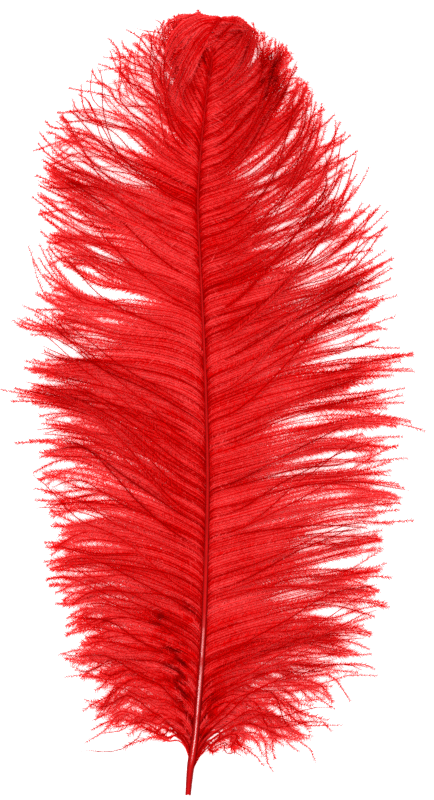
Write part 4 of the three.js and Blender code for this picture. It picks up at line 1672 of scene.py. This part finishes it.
@dataclass
class Stage:
    """The pale sheet, the soft light and the camera overhead."""

    lamps: tuple[Lamp, ...] = (
        Lamp("key_light", at=(-420, 380, 900), size=(320, 320), power=4.6),
        Lamp("strip_light", at=(-100, -60, 900), size=(60, 900), power=4.0),  # for the streak on the quill
    )
    room_light: float = 1.2
    overhead: tuple[float, float] = (0.75, 0.98)  # how high up the room's light begins to dim, and is dim
    overhead_light: float = 0.15  # share of it that is left straight above
    sheet_half: float = 1600.0  # half the sheet's width
    sheet_colour: tuple[float, float, float] = (0.93, 0.93, 0.93)
    sheet_roughness: float = 0.9
    sheet_shine: float = 0.1
    sheet_glow: float = 0.5  # how brightly the sheet is lit from below
    camera_height: float = 1500.0
    camera_range: float = 10000.0  # how far it sees
    aim: tuple[float, float] = (0.9, 3.6)  # the point of the sheet under the camera
    view_length: float = 373.6  # how much of the sheet the view's long side takes in
    sensor: float = 36.0

    def build(self) -> None:
        """Make the sheet, the lights and the camera."""
        self._sheet()
        self._world()
        for lamp in self.lamps:
            lamp.hang()
        self._camera()

    def _sheet(self) -> None:
        """Make the pale sheet that the feather lies on."""
        mesh = bpy.data.meshes.new("pale_sheet")
        half = self.sheet_half * MM
        corners = [(-half, -half, 0), (half, -half, 0), (half, half, 0), (-half, half, 0)]
        mesh.from_pydata(corners, [], [(0, 1, 2, 3)])
        sheet = bpy.data.objects.new("pale_sheet", mesh)
        bpy.context.scene.collection.objects.link(sheet)
        material = bpy.data.materials.new("pale_sheet")
        material.use_nodes = True
        shader = material.node_tree.nodes["Principled BSDF"]
        shader.inputs["Base Color"].default_value = (*self.sheet_colour, 1.0)
        shader.inputs["Roughness"].default_value = self.sheet_roughness
        shader.inputs["Specular IOR Level"].default_value = self.sheet_shine
        shader.inputs["Emission Color"].default_value = (1, 1, 1, 1)
        shader.inputs["Emission Strength"].default_value = self.sheet_glow
        mesh.materials.append(material)

    def _world(self) -> None:
        """Fill the room with even pale light."""
        world = bpy.data.worlds.new("soft_room")
        world.use_nodes = True
        nodes, links = world.node_tree.nodes, world.node_tree.links
        place = nodes.new("ShaderNodeTexCoord")
        split = nodes.new("ShaderNodeSeparateXYZ")
        nodes["Background"].inputs["Color"].default_value = (1, 1, 1, 1)
        overhead = nodes.new("ShaderNodeMapRange")
        overhead.inputs["From Min"].default_value = self.overhead[0]
        overhead.inputs["From Max"].default_value = self.overhead[1]
        overhead.inputs["To Min"].default_value = self.room_light
        overhead.inputs["To Max"].default_value = self.room_light * self.overhead_light
        links.new(place.outputs["Generated"], split.inputs["Vector"])
        links.new(split.outputs["Z"], overhead.inputs["Value"])
        links.new(overhead.outputs["Result"], nodes["Background"].inputs["Strength"])
        bpy.context.scene.world = world

    def _camera(self) -> None:
        """Set the camera straight above the feather."""
        data = bpy.data.cameras.new("overhead")
        data.sensor_width = self.sensor
        data.lens = self.sensor * self.camera_height / self.view_length
        data.clip_end = self.camera_range * MM
        camera = bpy.data.objects.new("overhead", data)
        camera.location = Vector((*self.aim, self.camera_height)) * MM
        bpy.context.scene.collection.objects.link(camera)
        bpy.context.scene.camera = camera


# ---------------------------------------------------------------- the whole plume


def report(piece: bpy.types.Object) -> None:
    """Log a piece's name and triangle count."""
    log.info("%s: %d triangles", piece.name, len(piece.data.polygons))


def main() -> None:
    """Build the feather and its stage."""
    logging.basicConfig(level=logging.INFO, format="%(message)s")
    scene = bpy.context.scene
    scene.view_settings.view_transform = "Standard"
    scene.cycles.use_denoising = False
    Stage().build()
    dye_and_shade = dye_and_shade_group()
    fibres = [BARB_FINISH.build(dye_and_shade), BARBULE_FINISH.build(dye_and_shade)]
    horn = ShaftFinish().build(dye_and_shade)
    shaft = Shaft()
    report(shaft.dress(shaft.build(), horn))
    fields = {side: BarbField(shaft, side) for side in Side}
    for seed, (node, side, first, last, spacing) in enumerate(TRACTS, start=TRACT_SEED):
        tract = BarbTract(node, side, first, last, spacing, seed)
        report(tract.dress(tract.build(fields), fibres))
    first, last = shaft.length - CURL_LENGTH, shaft.length
    for seed, (node, side, guides, spacing) in enumerate(CURLS, start=CURL_SEED):
        tract = CurlTract(node, side, first, last, spacing, seed, guides=guides)
        report(tract.dress(tract.build(fields), fibres))


if __name__ == "__main__":
    main()
